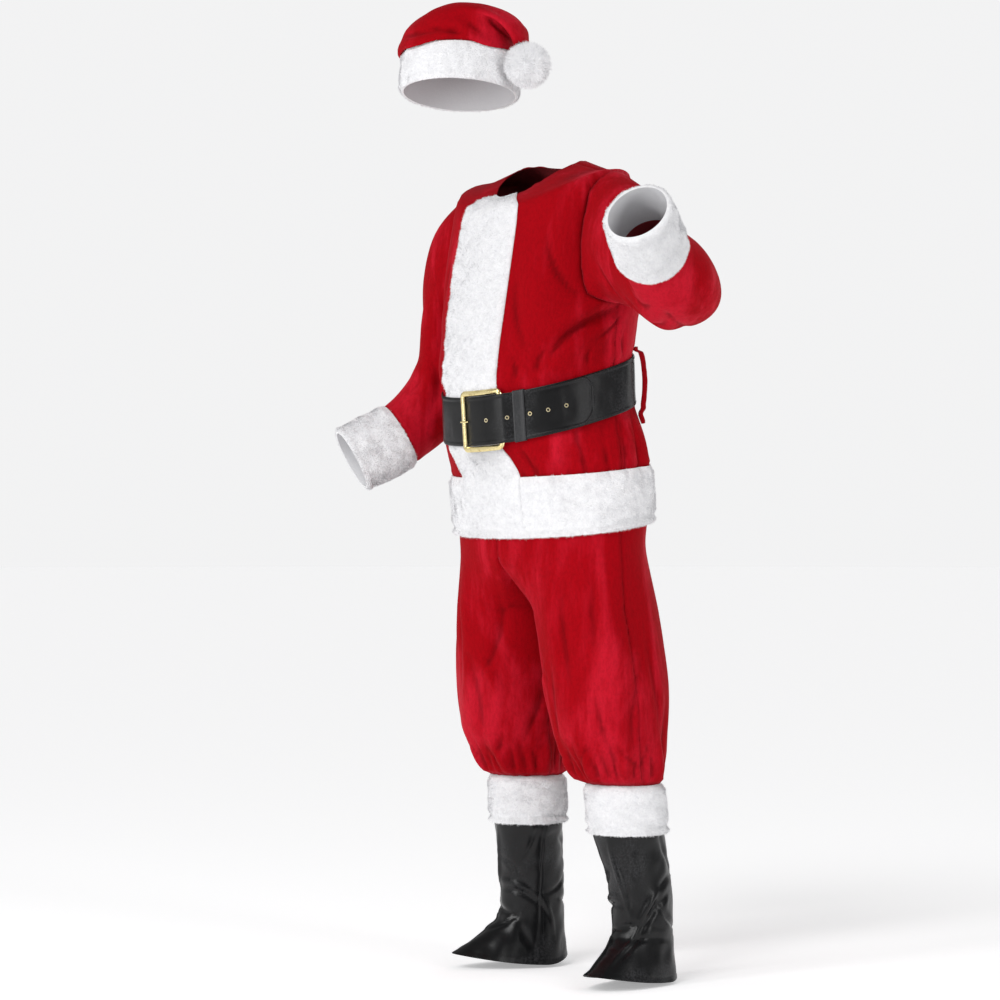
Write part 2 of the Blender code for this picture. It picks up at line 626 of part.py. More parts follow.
def trouser_cloth(side):
    """One half of the trousers. Columns run from the middle of the front round the outside, then up the inseam."""
    degrees = leg_angles()
    rows = [leg_points(side, degrees, h) for h in LEG_ROWS]
    seat = seat_ring(side)
    for k in range(1, SADDLE_ROWS + 1):
        t = k / (SADDLE_ROWS + 1)
        rows.append(rows[len(LEG_ROWS) - 1] * (1 - t) + seat * t)
    rows.append(seat)
    crotch = len(rows) - 1
    for station, inset in HIP_ROWS:
        ring = hip_ring(HIP_ANGLES if side == LEFT else 360 - HIP_ANGLES, station, inset)
        rows.append(np.concatenate([ring, seat[TROUSER_STEPS + 1 :]]))
    points = np.array(rows)
    real = np.ones((len(rows) - 1, points.shape[1]), bool)
    real[crotch:, TROUSER_STEPS:] = False
    if side == RIGHT:
        points = points[:, ::-1]
        real = real[:, np.r_[len(degrees) - 2 : -1 : -1, len(degrees) - 1]]
    cloth = Cloth(points, real=real)
    # The two halves meet in the body's middle plane, so their walls have the same way out there
    on_middle = abs(cloth.points[..., 0]) < 1e-6
    cloth.outward[on_middle, 0] = 0
    cloth.outward = unit(cloth.outward)
    ring, met = cloth.points[crotch], on_middle[crotch]
    for column in range(cloth.columns):
        before, after = column - 1, (column + 1) % cloth.columns
        if met[before] and met[column] and met[after]:
            down = unit(np.cross(ring[after] - ring[before], (1, 0, 0)))
            cloth.outward[crotch, column] = down * np.sign(-down[2])
    return cloth


def hip_cloth():
    """The top of the trousers all round, with the waistband as its last row."""
    angles = np.concatenate([HIP_ANGLES, 360 - HIP_ANGLES[-2:0:-1]])
    return Cloth([hip_ring(angles, *row) for row in (*HIP_ROWS[-2:], (BELT_MIDDLE, WAISTBAND_INSET))])


def make_trousers():
    leg_seam = LEG_ROWS.index(LEG_SEAM)
    count = TROUSER_STEPS + INSEAM_STEPS
    outseam, inseam = TROUSER_STEPS // 2, TROUSER_STEPS + INSEAM_STEPS // 2
    hips = hip_cloth()
    for name, side in (("left", LEFT), ("right", RIGHT)):
        cloth = trouser_cloth(side)
        top = cloth.rows - 1
        at_waist = np.arange(len(HIP_ANGLES)) * side
        own = at_waist if side == LEFT else at_waist - 1
        cloth.outward[top, own] = hips.outward[1, at_waist]
        if side == LEFT:
            front = (inseam, count + outseam)
            back = (outseam, inseam)
        else:
            front = (count - 1 - outseam, 2 * count - 1 - inseam)
            back = (count - 1 - inseam, count - 1 - outseam)
        fur = np.zeros(cloth.rows)
        fur[: len(HEM_FUR)] = HEM_FUR
        wall(f"trouser_front_{name}", cloth, cloth.cells((leg_seam, top), front), -CLOTH, 0, RED)
        wall(f"trouser_back_{name}", cloth, cloth.cells((leg_seam, top), back), -CLOTH, 0, RED)
        cells = cloth.cells((0, leg_seam), (0, count))
        wall(f"trouser_fur_{name}", cloth, cells, -CLOTH, fur[:, None], WHITE)
    band = hips.cells((1, 2), (0, hips.columns))
    wall("trouser_waistband", hips, band, -WAISTBAND_THICKNESS, 0, RED)


# Belt


def belt_surface(degrees, up):
    """Points on the jacket under the belt, some way up from its middle, and the way out at each."""
    degrees, up = np.broadcast_arrays(np.asarray(degrees, float), np.asarray(up, float))
    low, high = body(degrees, BELT_LOW), body(degrees, BELT_HIGH)
    rise = (high - low) / (BELT_HIGH - BELT_LOW)
    turn = 0.5
    along = body(degrees + turn, BELT_MIDDLE) - body(degrees - turn, BELT_MIDDLE)
    return (low + high) / 2 + rise * up[..., None], unit(np.cross(along, rise))


def patch(degrees, up):
    """An open grid on the jacket's surface at the belt, for what lies along it."""
    points, outward = belt_surface(degrees, up)
    cloth = Cloth(points, closed=False)
    cloth.outward = outward
    return cloth


def strap_degrees():
    """The angles of the strap's columns. Where it lies over itself both layers have the same ones."""
    round_once = [a for a in BODY_ANGLES if a > STRAP_START + 1]
    bends = [a for a, _ in STRAP_LAYERS if 360 < a < 396]
    again = [360 + a for a in BODY_ANGLES if 360 + a < STRAP_END - TONGUE_ROUND]
    again = [a for a in again if min(abs(a - b) for b in bends) > 1.6]
    end = STRAP_END - TONGUE_ROUND * (1 - np.sin(np.radians((0, 28, 50, 68, 80))))
    return np.array([STRAP_START, *round_once, *sorted(bends + again), *end])


def strap_cloth():
    """The strap, from the buckle round the back and over itself to the end of its tongue."""
    degrees = strap_degrees()
    past = np.clip((degrees - (STRAP_END - TONGUE_ROUND)) / TONGUE_ROUND, 0, 1)
    half = (BELT_HIGH - BELT_LOW) / 2 * np.sqrt(1 - past**2)
    layer = np.array(STRAP_LAYERS)
    cloth = patch(np.broadcast_to(degrees, (3, len(degrees))), np.stack([-half, 0 * half, half]))
    return cloth, np.interp(degrees, layer[:, 0], layer[:, 1])


def make_buckle():
    first, last = BUCKLE_MIDDLE - BUCKLE_REACH, BUCKLE_MIDDLE + BUCKLE_REACH
    across = [first, first + BUCKLE_BAR, 7.5, 12.5, 17.5, last - BUCKLE_BAR, last]
    half, bar = BUCKLE_HALF_HEIGHT, BUCKLE_BAR_HEIGHT
    cloth = patch(*np.meshgrid(across, (-half, bar - half, 0, half - bar, half)))
    cells = np.ones_like(cloth.real)
    cells[1:-1, 1:-1] = False
    frame = wall("belt_buckle", cloth, cells, BUCKLE_LOW, BUCKLE_LOW + BUCKLE_THICKNESS, GOLD)
    bevel = frame.modifiers.new("rounded", "BEVEL")
    bevel.width = 0.0012
    bevel.segments = 1
    bevel.limit_method = "ANGLE"
    bevel.angle_limit = math.radians(50)
    # The prong's tip comes up beside the frame's first bar and rests on it
    top = BUCKLE_LOW + BUCKLE_THICKNESS + SEAM + PRONG_RADIUS
    path = ((3.6, 0.0107), (2.6, 0.0128), (1.3, top), (-0.9, top))
    points = []
    for angle, off in path:
        place, out = belt_surface(angle, 0.0)
        points.append(place + out * off)
    tube("belt_prong", points, PRONG_RADIUS, GOLD)


def tube(name, points, radius, finish, steps=8):
    """A rod along some points, with flat ends."""
    points = np.array(points)
    along = unit(np.gradient(points, axis=0))
    turn = 2 * np.pi * np.arange(steps) / steps
    mesh = bmesh.new()
    rings = []
    for place, way in zip(points, along):
        side = unit(np.cross(way, (0, 0, 1)))
        up = np.cross(side, way)
        rings.append([mesh.verts.new(place + radius * (side * math.cos(t) + up * math.sin(t))) for t in turn])
    for ring, following in zip(rings, rings[1:]):
        for k in range(steps):
            mesh.faces.new((ring[k], ring[(k + 1) % steps], following[(k + 1) % steps], following[k]))
    mesh.faces.new(rings[0])
    mesh.faces.new(rings[-1])
    bmesh.ops.recalc_face_normals(mesh, faces=mesh.faces)
    object_from(name, mesh, finish, sharp=50)


def make_eyelet(number, cloth, column, share, off):
    """A round brass eyelet that stands on the strap's face."""
    face = cloth.points + cloth.outward * (off[:, None] + SEAM)
    a, b = face[1, column], face[1, column + 1]
    up = unit(face[2, column] - face[0, column])
    side = unit(b - a)
    out = unit(np.cross(side, up))
    up = np.cross(out, side)
    place = a + (b - a) * share
    steps = 12
    turn = 2 * np.pi * np.arange(steps) / steps
    mesh = bmesh.new()
    rings = []
    for radius, height in ((EYELET_INNER, 0), (EYELET_OUTER, 0), (EYELET_OUTER, 1), (EYELET_INNER, 1)):
        base = place + out * height * EYELET_HEIGHT
        rings.append([mesh.verts.new(base + radius * (side * math.cos(t) + up * math.sin(t))) for t in turn])
    for ring, following in zip(rings, rings[1:] + rings[:1]):
        for k in range(steps):
            mesh.faces.new((ring[k], ring[(k + 1) % steps], following[(k + 1) % steps], following[k]))
    bmesh.ops.recalc_face_normals(mesh, faces=mesh.faces)
    object_from(f"belt_eyelet_{number}", mesh, BRASS, sharp=30)


def make_keeper():
    """The loop of strap that holds the tongue down. It goes round both layers."""
    degrees = np.array([KEEPER_MIDDLE - KEEPER_HALF, KEEPER_MIDDLE, KEEPER_MIDDLE + KEEPER_HALF])
    layers = np.interp(degrees + 360, *np.array(STRAP_LAYERS).T) + STRAP_THICKNESS + KEEPER_SPACE
    half = (BELT_HIGH - BELT_LOW) / 2 + KEEPER_SPACE
    mesh = bmesh.new()
    skins = []
    for grow in (0, KEEPER_THICKNESS):
        skin = []
        for angle, over in zip(degrees, layers):
            edge, face = half + grow, over + grow
            ring = []
            for up, off in ((-edge, SEAM), (-edge, face), (edge, face), (edge, SEAM)):
                place, out = belt_surface(angle, up)
                ring.append(mesh.verts.new(place + out * off))
            skin.append(ring)
        skins.append(skin)
    inner, outer = skins
    for skin in skins:
        for a, b in zip(skin, skin[1:]):
            for k in range(3):
                mesh.faces.new((a[k], a[k + 1], b[k + 1], b[k]))
    for k in (0, 3):
        for j in range(2):
            mesh.faces.new((inner[j][k], inner[j + 1][k], outer[j + 1][k], outer[j][k]))
    for j in (0, 2):
        for k in range(3):
            mesh.faces.new((inner[j][k], inner[j][k + 1], outer[j][k + 1], outer[j][k]))
    bmesh.ops.recalc_face_normals(mesh, faces=mesh.faces)
    object_from("belt_keeper", mesh, BLACK, sharp=30)


def make_belt():
    cloth, layer = strap_cloth()
    wall("belt_strap", cloth, np.ones_like(cloth.real), layer, layer + STRAP_THICKNESS, BLACK)
    make_buckle()
    make_keeper()
    degrees = strap_degrees()
    for number, angle in enumerate(EYELET_ANGLES, start=1):
        column = np.searchsorted(degrees, 360 + angle) - 1
        share = (360 + angle - degrees[column]) / (degrees[column + 1] - degrees[column])
        make_eyelet(number, cloth, column, share, layer + STRAP_THICKNESS)
    # Plush loops at the back of each side, which the strap runs through
    up = np.array([place for place, _ in LOOP_ARCH])
    stand = np.array([reach for _, reach in LOOP_ARCH])[:, None]
    for name, middle in (("left", LOOP_ANGLE), ("right", 360 - LOOP_ANGLE)):
        degrees, rows = np.meshgrid((middle - LOOP_HALF, middle, middle + LOOP_HALF), up)
        cloth = Cloth(body(degrees, BELT_MIDDLE + rows), closed=False)
        cloth.outward = belt_surface(degrees, rows)[1]
        wall(f"belt_loop_{name}", cloth, np.ones_like(cloth.real), stand, stand + LOOP_THICKNESS, RED)


# Hat


def hat_frame():
    """The hat's own axes: across towards the folded side, ahead of that, and up."""
    turn = math.radians(HAT_FOLD_TOWARDS)
    across = np.array((math.cos(turn), math.sin(turn), 0))
    ahead = np.array((math.sin(turn), -math.cos(turn), 0))
    back, side = math.radians(HAT_TILT_BACK), math.radians(HAT_TILT_SIDE)
    up = unit(np.array((0, 0, 1.0)) - ahead * math.tan(back) + across * math.tan(side))
    across = unit(across - up * (across @ up))
    return across, np.cross(across, up), up


def make_hat():
    across, ahead, up = hat_frame()
    centre = at_height(HAT_CENTRE)
    table = np.array(CROWN_SECTIONS)
    steps = table[:, 5].astype(int)
    stops = [k + j / steps[k] for k in range(len(steps) - 1) for j in range(steps[k])] + [len(steps) - 1]
    crown = smooth(np.arange(len(table)), table[:, :5], np.array(stops))
    heights = [(t - 1) * BRIM_HEIGHT for t in BRIM_ROWS[:-1]]
    brim = [(-HAT_RADIUS, height, HAT_RADIUS, height, HAT_RADIUS) for height in heights]
    turn = 2 * np.pi * np.arange(CROWN_STEPS) / CROWN_STEPS
    rings = []
    for outer_x, outer_z, fold_x, fold_z, depth in brim + list(crown):
        middle = np.array(((outer_x + fold_x) / 2, (outer_z + fold_z) / 2))
        reach = np.array(((fold_x - outer_x) / 2, (fold_z - outer_z) / 2))
        place = middle + np.outer(np.cos(turn), reach)
        rings.append(
            centre
            + np.outer(place[:, 0], across)
            + np.outer(place[:, 1], up)
            - np.outer(np.sin(turn) * depth, ahead)
        )
    cloth = Cloth(rings)
    seam = len(brim)
    fur = np.zeros(cloth.rows)
    fur[: seam + 1] = BRIM_FUR
    wall("hat_brim", cloth, cloth.cells((0, seam), (0, CROWN_STEPS)), -CLOTH, fur[:, None], WHITE)
    wall("hat_crown", cloth, cloth.cells((seam, cloth.rows - 1), (0, CROWN_STEPS)), -CLOTH, 0, RED)
    make_pompom(cloth)


def make_pompom(cloth):
    """A round tuft of fur, flat where the crown's tip is sewn to it."""
    tip = cloth.points[-1]
    middle = tip.mean(axis=0)
    pole = unit(middle - cloth.points[-2].mean(axis=0))
    ends = np.concatenate([tip, tip - cloth.outward[-1] * CLOTH])
    seat = ((ends - middle) @ pole).max() + SEAM
    centre = middle + pole * (POMPOM_SEAT + seat)
    mesh = bmesh.new()
    bmesh.ops.create_uvsphere(mesh, u_segments=20, v_segments=12, radius=POMPOM_RADIUS)
    for v in mesh.verts:
        p = np.array(v.co)
        lump = 1 + 0.035 * math.sin(95 * p[0] + 1.3) * math.sin(105 * p[1] + 0.4) * math.sin(88 * p[2])
        p = p * lump
        beyond = -(p @ pole) - POMPOM_SEAT
        if beyond > 0:
            p = p + pole * beyond
        v.co = p + centre
    object_from("hat_pompom", mesh, WHITE, sharp=60)


# Boot covers


def make_boot_cover(name, side):
    turn = np.radians(leg_angles())
    rings = []
    for front, back, drop, out, behind, width, fore, aft in BOOT_SECTIONS:
        x = side * width * np.sin(turn)
        y = -np.where(np.cos(turn) > 0, fore, aft) * np.cos(turn)
        z = back + (front - back) * soft_step(-aft, fore, -y) - drop * np.sin(turn) ** 2
        a = math.radians(TOE_OUT) * side * (1 - soft_step(BOOT_TURN_LOW, BOOT_TURN_HIGH, back))
        middle = side * out + step_out(side, z)
        turned = (middle + x * math.cos(a) - y * math.sin(a), behind + x * math.sin(a) + y * math.cos(a))
        rings.append(np.stack([*turned, z], -1))
    rings = at_height(rings)
    if side == RIGHT:
        rings = rings[:, ::-1]
    cloth = Cloth(rings)
    cells = cloth.cells((0, cloth.rows - 1), (0, cloth.columns))
    wall(f"boot_cover_{name}", cloth, cells, -VINYL, 0, BLACK)


for old in list(bpy.data.objects):
    bpy.data.objects.remove(old, do_unlink=True)
SUIT = bpy.data.collections.new("santa_suit")
bpy.context.scene.collection.children.link(SUIT)
RED = material("red plush", (0.42, 0.004, 0.012), 0.75)
WHITE = material("white fur", (0.86, 0.86, 0.87), 0.9)
BLACK = material("black vinyl", (0.012, 0.012, 0.014), 0.38)
GOLD = material("gold plate", (0.80, 0.62, 0.22), 0.25, 1.0)
BRASS = material("brass", (0.72, 0.62, 0.38), 0.3, 1.0)

make_jacket()
make_trousers()
make_belt()
make_hat()
make_boot_cover("left", LEFT)
make_boot_cover("right", RIGHT)
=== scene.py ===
"""Looks of a red plush santa suit with white fur trim, in the hollow form that it has when it is worn.

Each piece of cloth is a thin shell on its solid's form, made again here at a finer step from the same
tables, with its creases, seams and fur. Metres, +Z up. The suit faces -Y, and its left side is at +X.
"""

import math

import bpy
import numpy as np
from bpy.props import FloatProperty, FloatVectorProperty, IntProperty, PointerProperty
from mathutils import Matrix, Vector
from mathutils.kdtree import KDTree


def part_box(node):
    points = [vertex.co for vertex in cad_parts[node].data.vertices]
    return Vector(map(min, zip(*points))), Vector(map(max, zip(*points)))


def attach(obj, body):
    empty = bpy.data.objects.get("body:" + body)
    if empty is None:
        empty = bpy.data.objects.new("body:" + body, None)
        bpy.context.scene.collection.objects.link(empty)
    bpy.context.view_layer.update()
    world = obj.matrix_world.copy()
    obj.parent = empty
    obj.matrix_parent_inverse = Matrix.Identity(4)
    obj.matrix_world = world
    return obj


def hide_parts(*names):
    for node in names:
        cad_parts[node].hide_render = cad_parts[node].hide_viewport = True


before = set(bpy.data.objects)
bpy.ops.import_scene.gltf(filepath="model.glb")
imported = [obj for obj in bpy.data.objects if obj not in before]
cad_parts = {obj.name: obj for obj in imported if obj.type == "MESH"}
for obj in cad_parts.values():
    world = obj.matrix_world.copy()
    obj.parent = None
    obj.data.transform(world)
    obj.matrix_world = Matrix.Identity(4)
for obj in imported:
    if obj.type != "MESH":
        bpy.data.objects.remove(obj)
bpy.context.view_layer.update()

bl_info = {
    "name": "Santa Suit",
    "version": (1, 0, 0),
    "blender": (4, 5, 0),
    "location": "3D View > Sidebar > Suit",
    "description": "Makes the cloth, fur, belt, hat and boot covers of a worn santa suit",
    "category": "Add Mesh",
}

# Sizes of the solids. Heights in the tables are above the floor, which is NECK_HEIGHT below the origin.

NECK_HEIGHT = 1.500
CLOTH, SEAM, FUR = 0.0025, 0.0003, 0.0075
LEFT, RIGHT = 1, -1

# Jacket body: front, back, lift, half width, front depth, back depth, squareness
BODY_SECTIONS = (
    (0.829, 0.867, 0.000, 0.2190, 0.126, 0.168, 0.03),
    (0.941, 0.972, 0.000, 0.2190, 0.142, 0.158, 0.03),
    (0.972, 1.028, 0.000, 0.2130, 0.162, 0.145, 0.03),
    (1.000, 1.094, 0.000, 0.1970, 0.186, 0.126, 0.02),
    (1.045, 1.139, 0.000, 0.1960, 0.1895, 0.1235, 0.02),
    (1.090, 1.184, 0.000, 0.1950, 0.193, 0.121, 0.02),
    (1.118, 1.206, 0.000, 0.2000, 0.197, 0.127, 0.02),
    (1.180, 1.242, 0.000, 0.2040, 0.190, 0.129, 0.03),
    (1.245, 1.275, 0.000, 0.2120, 0.180, 0.128, 0.04),
    (1.340, 1.360, 0.008, 0.2140, 0.161, 0.123, 0.05),
    (1.400, 1.425, 0.022, 0.2080, 0.148, 0.116, 0.05),
    (1.435, 1.470, 0.052, 0.1960, 0.140, 0.107, 0.04),
    (1.450, 1.499, 0.034, 0.1450, 0.128, 0.092, 0.02),
    (1.464, 1.529, 0.028, 0.0800, 0.106, 0.070, 0.00),
)
HEM_EDGE, HEM_SEAM = 0.829, 0.941
BELT_LOW, BELT_MIDDLE, BELT_HIGH = 1.000, 1.045, 1.090
UNDERARM, SHOULDER = 1.245, 1.435
BODY_ROWS = (
    HEM_EDGE, 0.835, 0.843, 0.855, 0.929, HEM_SEAM, 0.968, BELT_LOW, BELT_MIDDLE, BELT_HIGH,
    1.118, 1.155, 1.200, UNDERARM, 1.290, 1.335, 1.375, 1.407, SHOULDER, 1.445, 1.455, 1.464,
)
BAND_EDGE, BAND_SHOULDER, BAND_COLUMN = 22.5, 20.5, 3
SIDE_STEPS, BACK_STEPS = 7, 10
ARMHOLE_REACH, ARMHOLE_ROUNDING = 3, 0.75
FOLD_RADIUS, BELT_CALM = 0.19, 0.035

# Folds of the jacket: degrees from the front, front height, lean, bow, half length, half width, depth
BODY_FOLDS = (
    (78, 1.215, 62, 0, 0.070, 0.020, -0.011),
    (72, 1.245, 62, 0, 0.070, 0.020, 0.008),
    (60, 1.150, 40, 0, 0.060, 0.024, 0.006),
    (84, 1.140, 20, 0, 0.045, 0.022, -0.006),
    (36, 1.300, -25, 0, 0.090, 0.030, 0.004),
    (118, 0.955, 4, 0, 0.060, 0.018, 0.006),
    (52, 0.930, -8, 0, 0.100, 0.026, -0.006),
    (38, 0.900, -6, 0, 0.090, 0.026, 0.005),
    (150, 1.130, 12, 0, 0.050, 0.024, 0.006),
    (180, 0.930, 0, 0, 0.100, 0.030, -0.006),
    (205, 1.140, -14, 0, 0.055, 0.024, 0.006),
    (180, 1.300, 8, 0, 0.090, 0.032, 0.004),
    (232, 0.930, 6, 0, 0.090, 0.026, 0.006),
    (250, 1.200, -48, 0, 0.060, 0.022, -0.008),
    (285, 1.220, 48, 0, 0.060, 0.022, -0.008),
    (300, 0.930, -6, 0, 0.080, 0.026, 0.005),
    (315, 1.150, -30, 0, 0.055, 0.024, 0.005),
)
JACKET_CREASES = (
    (66, 1.205, 58, 0.006, 0.052, 0.0080, -0.0080),
    (58, 1.176, 48, 0.008, 0.040, 0.0070, -0.0058),
    (88, 1.188, 44, -0.006, 0.038, 0.0065, -0.0058),
    (45, 1.138, 8, 0.004, 0.026, 0.0060, -0.0048),
    (33, 1.130, -6, -0.004, 0.024, 0.0055, -0.0045),
    (72, 1.126, 4, 0.003, 0.022, 0.0050, -0.0048),
    (98, 1.132, -8, 0.004, 0.028, 0.0065, -0.0054),
    (29, 1.240, -14, 0.010, 0.070, 0.0090, -0.0045),
    (47, 1.320, -30, 0.010, 0.058, 0.0080, -0.0048),
    (62, 0.960, 6, 0.004, 0.040, 0.0070, -0.0064),
    (78, 0.950, -4, 0.005, 0.034, 0.0060, -0.0048),
    (94, 0.958, 4, -0.004, 0.038, 0.0070, -0.0061),
    (32, 0.966, -8, 0.003, 0.030, 0.0055, -0.0048),
    (128, 1.128, 10, 0.004, 0.030, 0.0060, -0.0054),
    (168, 1.134, -4, -0.005, 0.036, 0.0070, -0.0061),
    (192, 1.120, 6, 0.004, 0.026, 0.0060, -0.0051),
    (222, 1.136, -10, 0.005, 0.034, 0.0065, -0.0058),
    (140, 1.240, 34, 0.010, 0.060, 0.0080, -0.0054),
    (214, 1.250, -30, -0.010, 0.066, 0.0085, -0.0054),
    (176, 1.400, 84, 0.008, 0.060, 0.0070, -0.0038),
    (108, 0.950, 0, 0.004, 0.036, 0.0065, -0.0058),
    (136, 0.945, -6, 0.004, 0.042, 0.0070, -0.0064),
    (160, 0.955, 5, -0.004, 0.038, 0.0060, -0.0054),
    (206, 0.950, -4, 0.005, 0.044, 0.0070, -0.0064),
    (246, 0.955, 6, -0.004, 0.036, 0.0065, -0.0054),
    (272, 0.948, 3, 0.005, 0.040, 0.0070, -0.0064),
    (318, 0.958, -7, 0.004, 0.034, 0.0060, -0.0051),
    (262, 1.190, -52, 0.007, 0.046, 0.0075, -0.0070),
    (276, 1.176, 40, -0.006, 0.042, 0.0070, -0.0064),
    (296, 1.140, 12, 0.004, 0.030, 0.0060, -0.0051),
    (328, 1.136, -6, 0.004, 0.026, 0.0055, -0.0045),
    (322, 1.290, 26, -0.008, 0.064, 0.0085, -0.0045),
)

# Fur depth at the first rows of a hem, from its free edge, which is rolled, with a groove above the roll
HEM_FUR = (0.0020, FUR, 0.0038, FUR, FUR, 0.0015)
BAND_FUR, BAND_UNDER_BELT, BAND_SIDE = 0.0090, 0.0037, 0.0030

# Sleeves: x, y, height, turn from sideways to ahead, rise, half height, half depth
SLEEVE_LEFT = (
    (0.258, -0.018, 1.366, 5, -12, 0.1080, 0.0800),
    (0.320, -0.028, 1.336, 8, -20, 0.0940, 0.0800),
    (0.385, -0.042, 1.303, 16, -16, 0.0850, 0.0810),
    (0.443, -0.066, 1.279, 30, -4, 0.0820, 0.0790),
    (0.482, -0.114, 1.300, 43, 14, 0.0750, 0.0730),
    (0.502, -0.169, 1.334, 54, 22, 0.0620, 0.0610),
    (0.553, -0.248, 1.394, 66, 34, 0.0570, 0.0570),
)
SLEEVE_RIGHT = (
    (-0.2490, -0.008, 1.351, 0, -16, 0.1060, 0.0800),
    (-0.2760, 0.000, 1.301, 0, -36, 0.0860, 0.0790),
    (-0.2930, 0.006, 1.243, 0, -57, 0.0750, 0.0770),
    (-0.3030, 0.008, 1.175, 10, -74, 0.0690, 0.0750),
    (-0.3180, -0.014, 1.106, 50, -57, 0.0680, 0.0710),
    (-0.3520, -0.088, 1.028, 64, -30, 0.0620, 0.0620),
    (-0.3930, -0.174, 0.978, 64, -28, 0.0610, 0.0610),
)
CUFF_STEPS = (0.00, 0.11, 0.76, 0.87, 0.95, 1.00)
CUFF_FUR = (0.0015, FUR, FUR, 0.0050, FUR, 0.0020)

# Folds of a sleeve: degrees round from its underside, ring, lean a ring, half width, half length, depth
SLEEVE_FOLDS = (
    (20, 3.2, 0, 26, 1.3, -0.008),
    (75, 4.0, 0, 26, 1.2, 0.006),
    (140, 3.4, 0, 30, 1.2, -0.007),
    (250, 2.4, 0, 34, 1.4, 0.006),
    (300, 4.4, 0, 28, 1.2, -0.006),
)
SLEEVE_CREASES = {
    "left": (
        (338, 3.9, 26, 9, 0.95, -0.0084),
        (316, 4.5, 34, 8, 0.70, -0.0070),
        (10, 4.4, -24, 8, 0.60, -0.0062),
        (348, 2.9, 18, 10, 0.80, -0.0062),
        (30, 2.2, -30, 9, 0.70, -0.0053),
        (300, 1.6, 30, 9, 0.80, -0.0056),
        (60, 5.2, 12, 8, 0.50, -0.0050),
        (200, 3.6, -18, 10, 0.80, -0.0050),
        (225, 4.6, -10, 8, 0.60, -0.0048),
        (150, 4.9, 16, 8, 0.55, -0.0048),
        (110, 2.6, 20, 10, 0.80, -0.0048),
        (262, 5.0, 8, 7, 0.50, -0.0050),
        (180, 1.7, -14, 10, 0.70, -0.0039),
    ),
    "right": (
        (20, 3.6, 26, 9, 0.90, -0.0078),
        (344, 4.6, 30, 9, 0.70, -0.0078),
        (316, 3.9, 30, 8, 0.80, -0.0062),
        (52, 4.7, -24, 8, 0.60, -0.0067),
        (356, 2.6, 18, 10, 0.80, -0.0059),
        (38, 1.9, -26, 9, 0.70, -0.0056),
        (292, 2.1, 28, 9, 0.80, -0.0053),
        (86, 5.2, 12, 8, 0.50, -0.0050),
        (210, 3.0, -18, 10, 0.90, -0.0050),
        (232, 4.8, -12, 8, 0.60, -0.0050),
        (150, 4.3, 18, 9, 0.70, -0.0050),
        (118, 3.0, 20, 10, 0.80, -0.0048),
        (268, 5.1, 8, 7, 0.50, -0.0050),
    ),
}

# Trousers: height, out from the middle, back, half width, half depth
LEG_SECTIONS = (
    (0.280, 0.1450, 0.068, 0.0700, 0.0700),
    (0.372, 0.1405, 0.060, 0.0690, 0.0690),
    (0.381, 0.1390, 0.053, 0.0800, 0.0820),
    (0.420, 0.1385, 0.042, 0.0945, 0.0965),
    (0.470, 0.1385, 0.030, 0.1040, 0.1070),
    (0.560, 0.1330, 0.026, 0.1115, 0.1150),
    (0.640, 0.1240, 0.021, 0.1120, 0.1170),
    (0.700, 0.1160, 0.018, 0.1080, 0.1200),
)
TROUSER_STEPS, INSEAM_STEPS, OUTSEAM, INSEAM = 19, 8, 9, 23
LEG_EDGE, LEG_SEAM = 0.280, 0.372
LEG_ROWS = (
    LEG_EDGE, 0.286, 0.294, 0.305, 0.361, LEG_SEAM,
    0.381, 0.405, 0.440, 0.485, 0.540, 0.600, 0.650, 0.700,
)
CROTCH_HEIGHT, CROTCH_BACK = 0.740, 0.030
LEFT_STEP, STEP_LOW, STEP_HIGH = 0.009, 0.36, 0.72
SEAT = (0.790, 0.820, 0.2165, 0.1240, 0.1520)
HIP_ROWS = ((0.855, 0.0060), (0.929, 0.0095), (0.968, 0.0080), (1.000, 0.0036))
WAISTBAND_INSET, WAISTBAND_THICKNESS = 0.0036, 0.0040

# Folds of a leg: degrees from the front towards the outside, height, and the rest as for the jacket
LEG_FOLDS = (
    (-28, 0.405, 14, 0, 0.045, 0.011, 0.008),
    (-6, 0.402, -8, 0, 0.035, 0.010, -0.008),
    (14, 0.405, 6, 0, 0.045, 0.010, 0.007),
    (38, 0.402, -6, 0, 0.035, 0.010, -0.007),
    (60, 0.405, 8, 0, 0.045, 0.011, 0.007),
    (86, 0.404, -4, 0, 0.035, 0.010, -0.007),
    (112, 0.405, 4, 0, 0.045, 0.011, 0.007),
    (140, 0.402, -6, 0, 0.035, 0.010, -0.007),
    (166, 0.405, 6, 0, 0.045, 0.010, 0.007),
    (192, 0.402, 0, 0, 0.035, 0.010, -0.007),
    (218, 0.405, -6, 0, 0.045, 0.011, 0.007),
    (246, 0.402, 8, 0, 0.035, 0.010, -0.007),
    (276, 0.405, -8, 0, 0.045, 0.011, 0.007),
    (304, 0.402, 6, 0, 0.035, 0.010, -0.007),
    (62, 0.640, 3, 0, 0.150, 0.026, 0.007),
    (92, 0.620, -2, 0, 0.140, 0.026, -0.006),
    (6, 0.690, 4, 0, 0.120, 0.020, 0.006),
    (28, 0.560, -6, 0, 0.110, 0.026, -0.005),
    (150, 0.600, 2, 0, 0.140, 0.030, 0.006),
    (205, 0.580, -3, 0, 0.120, 0.028, -0.005),
)
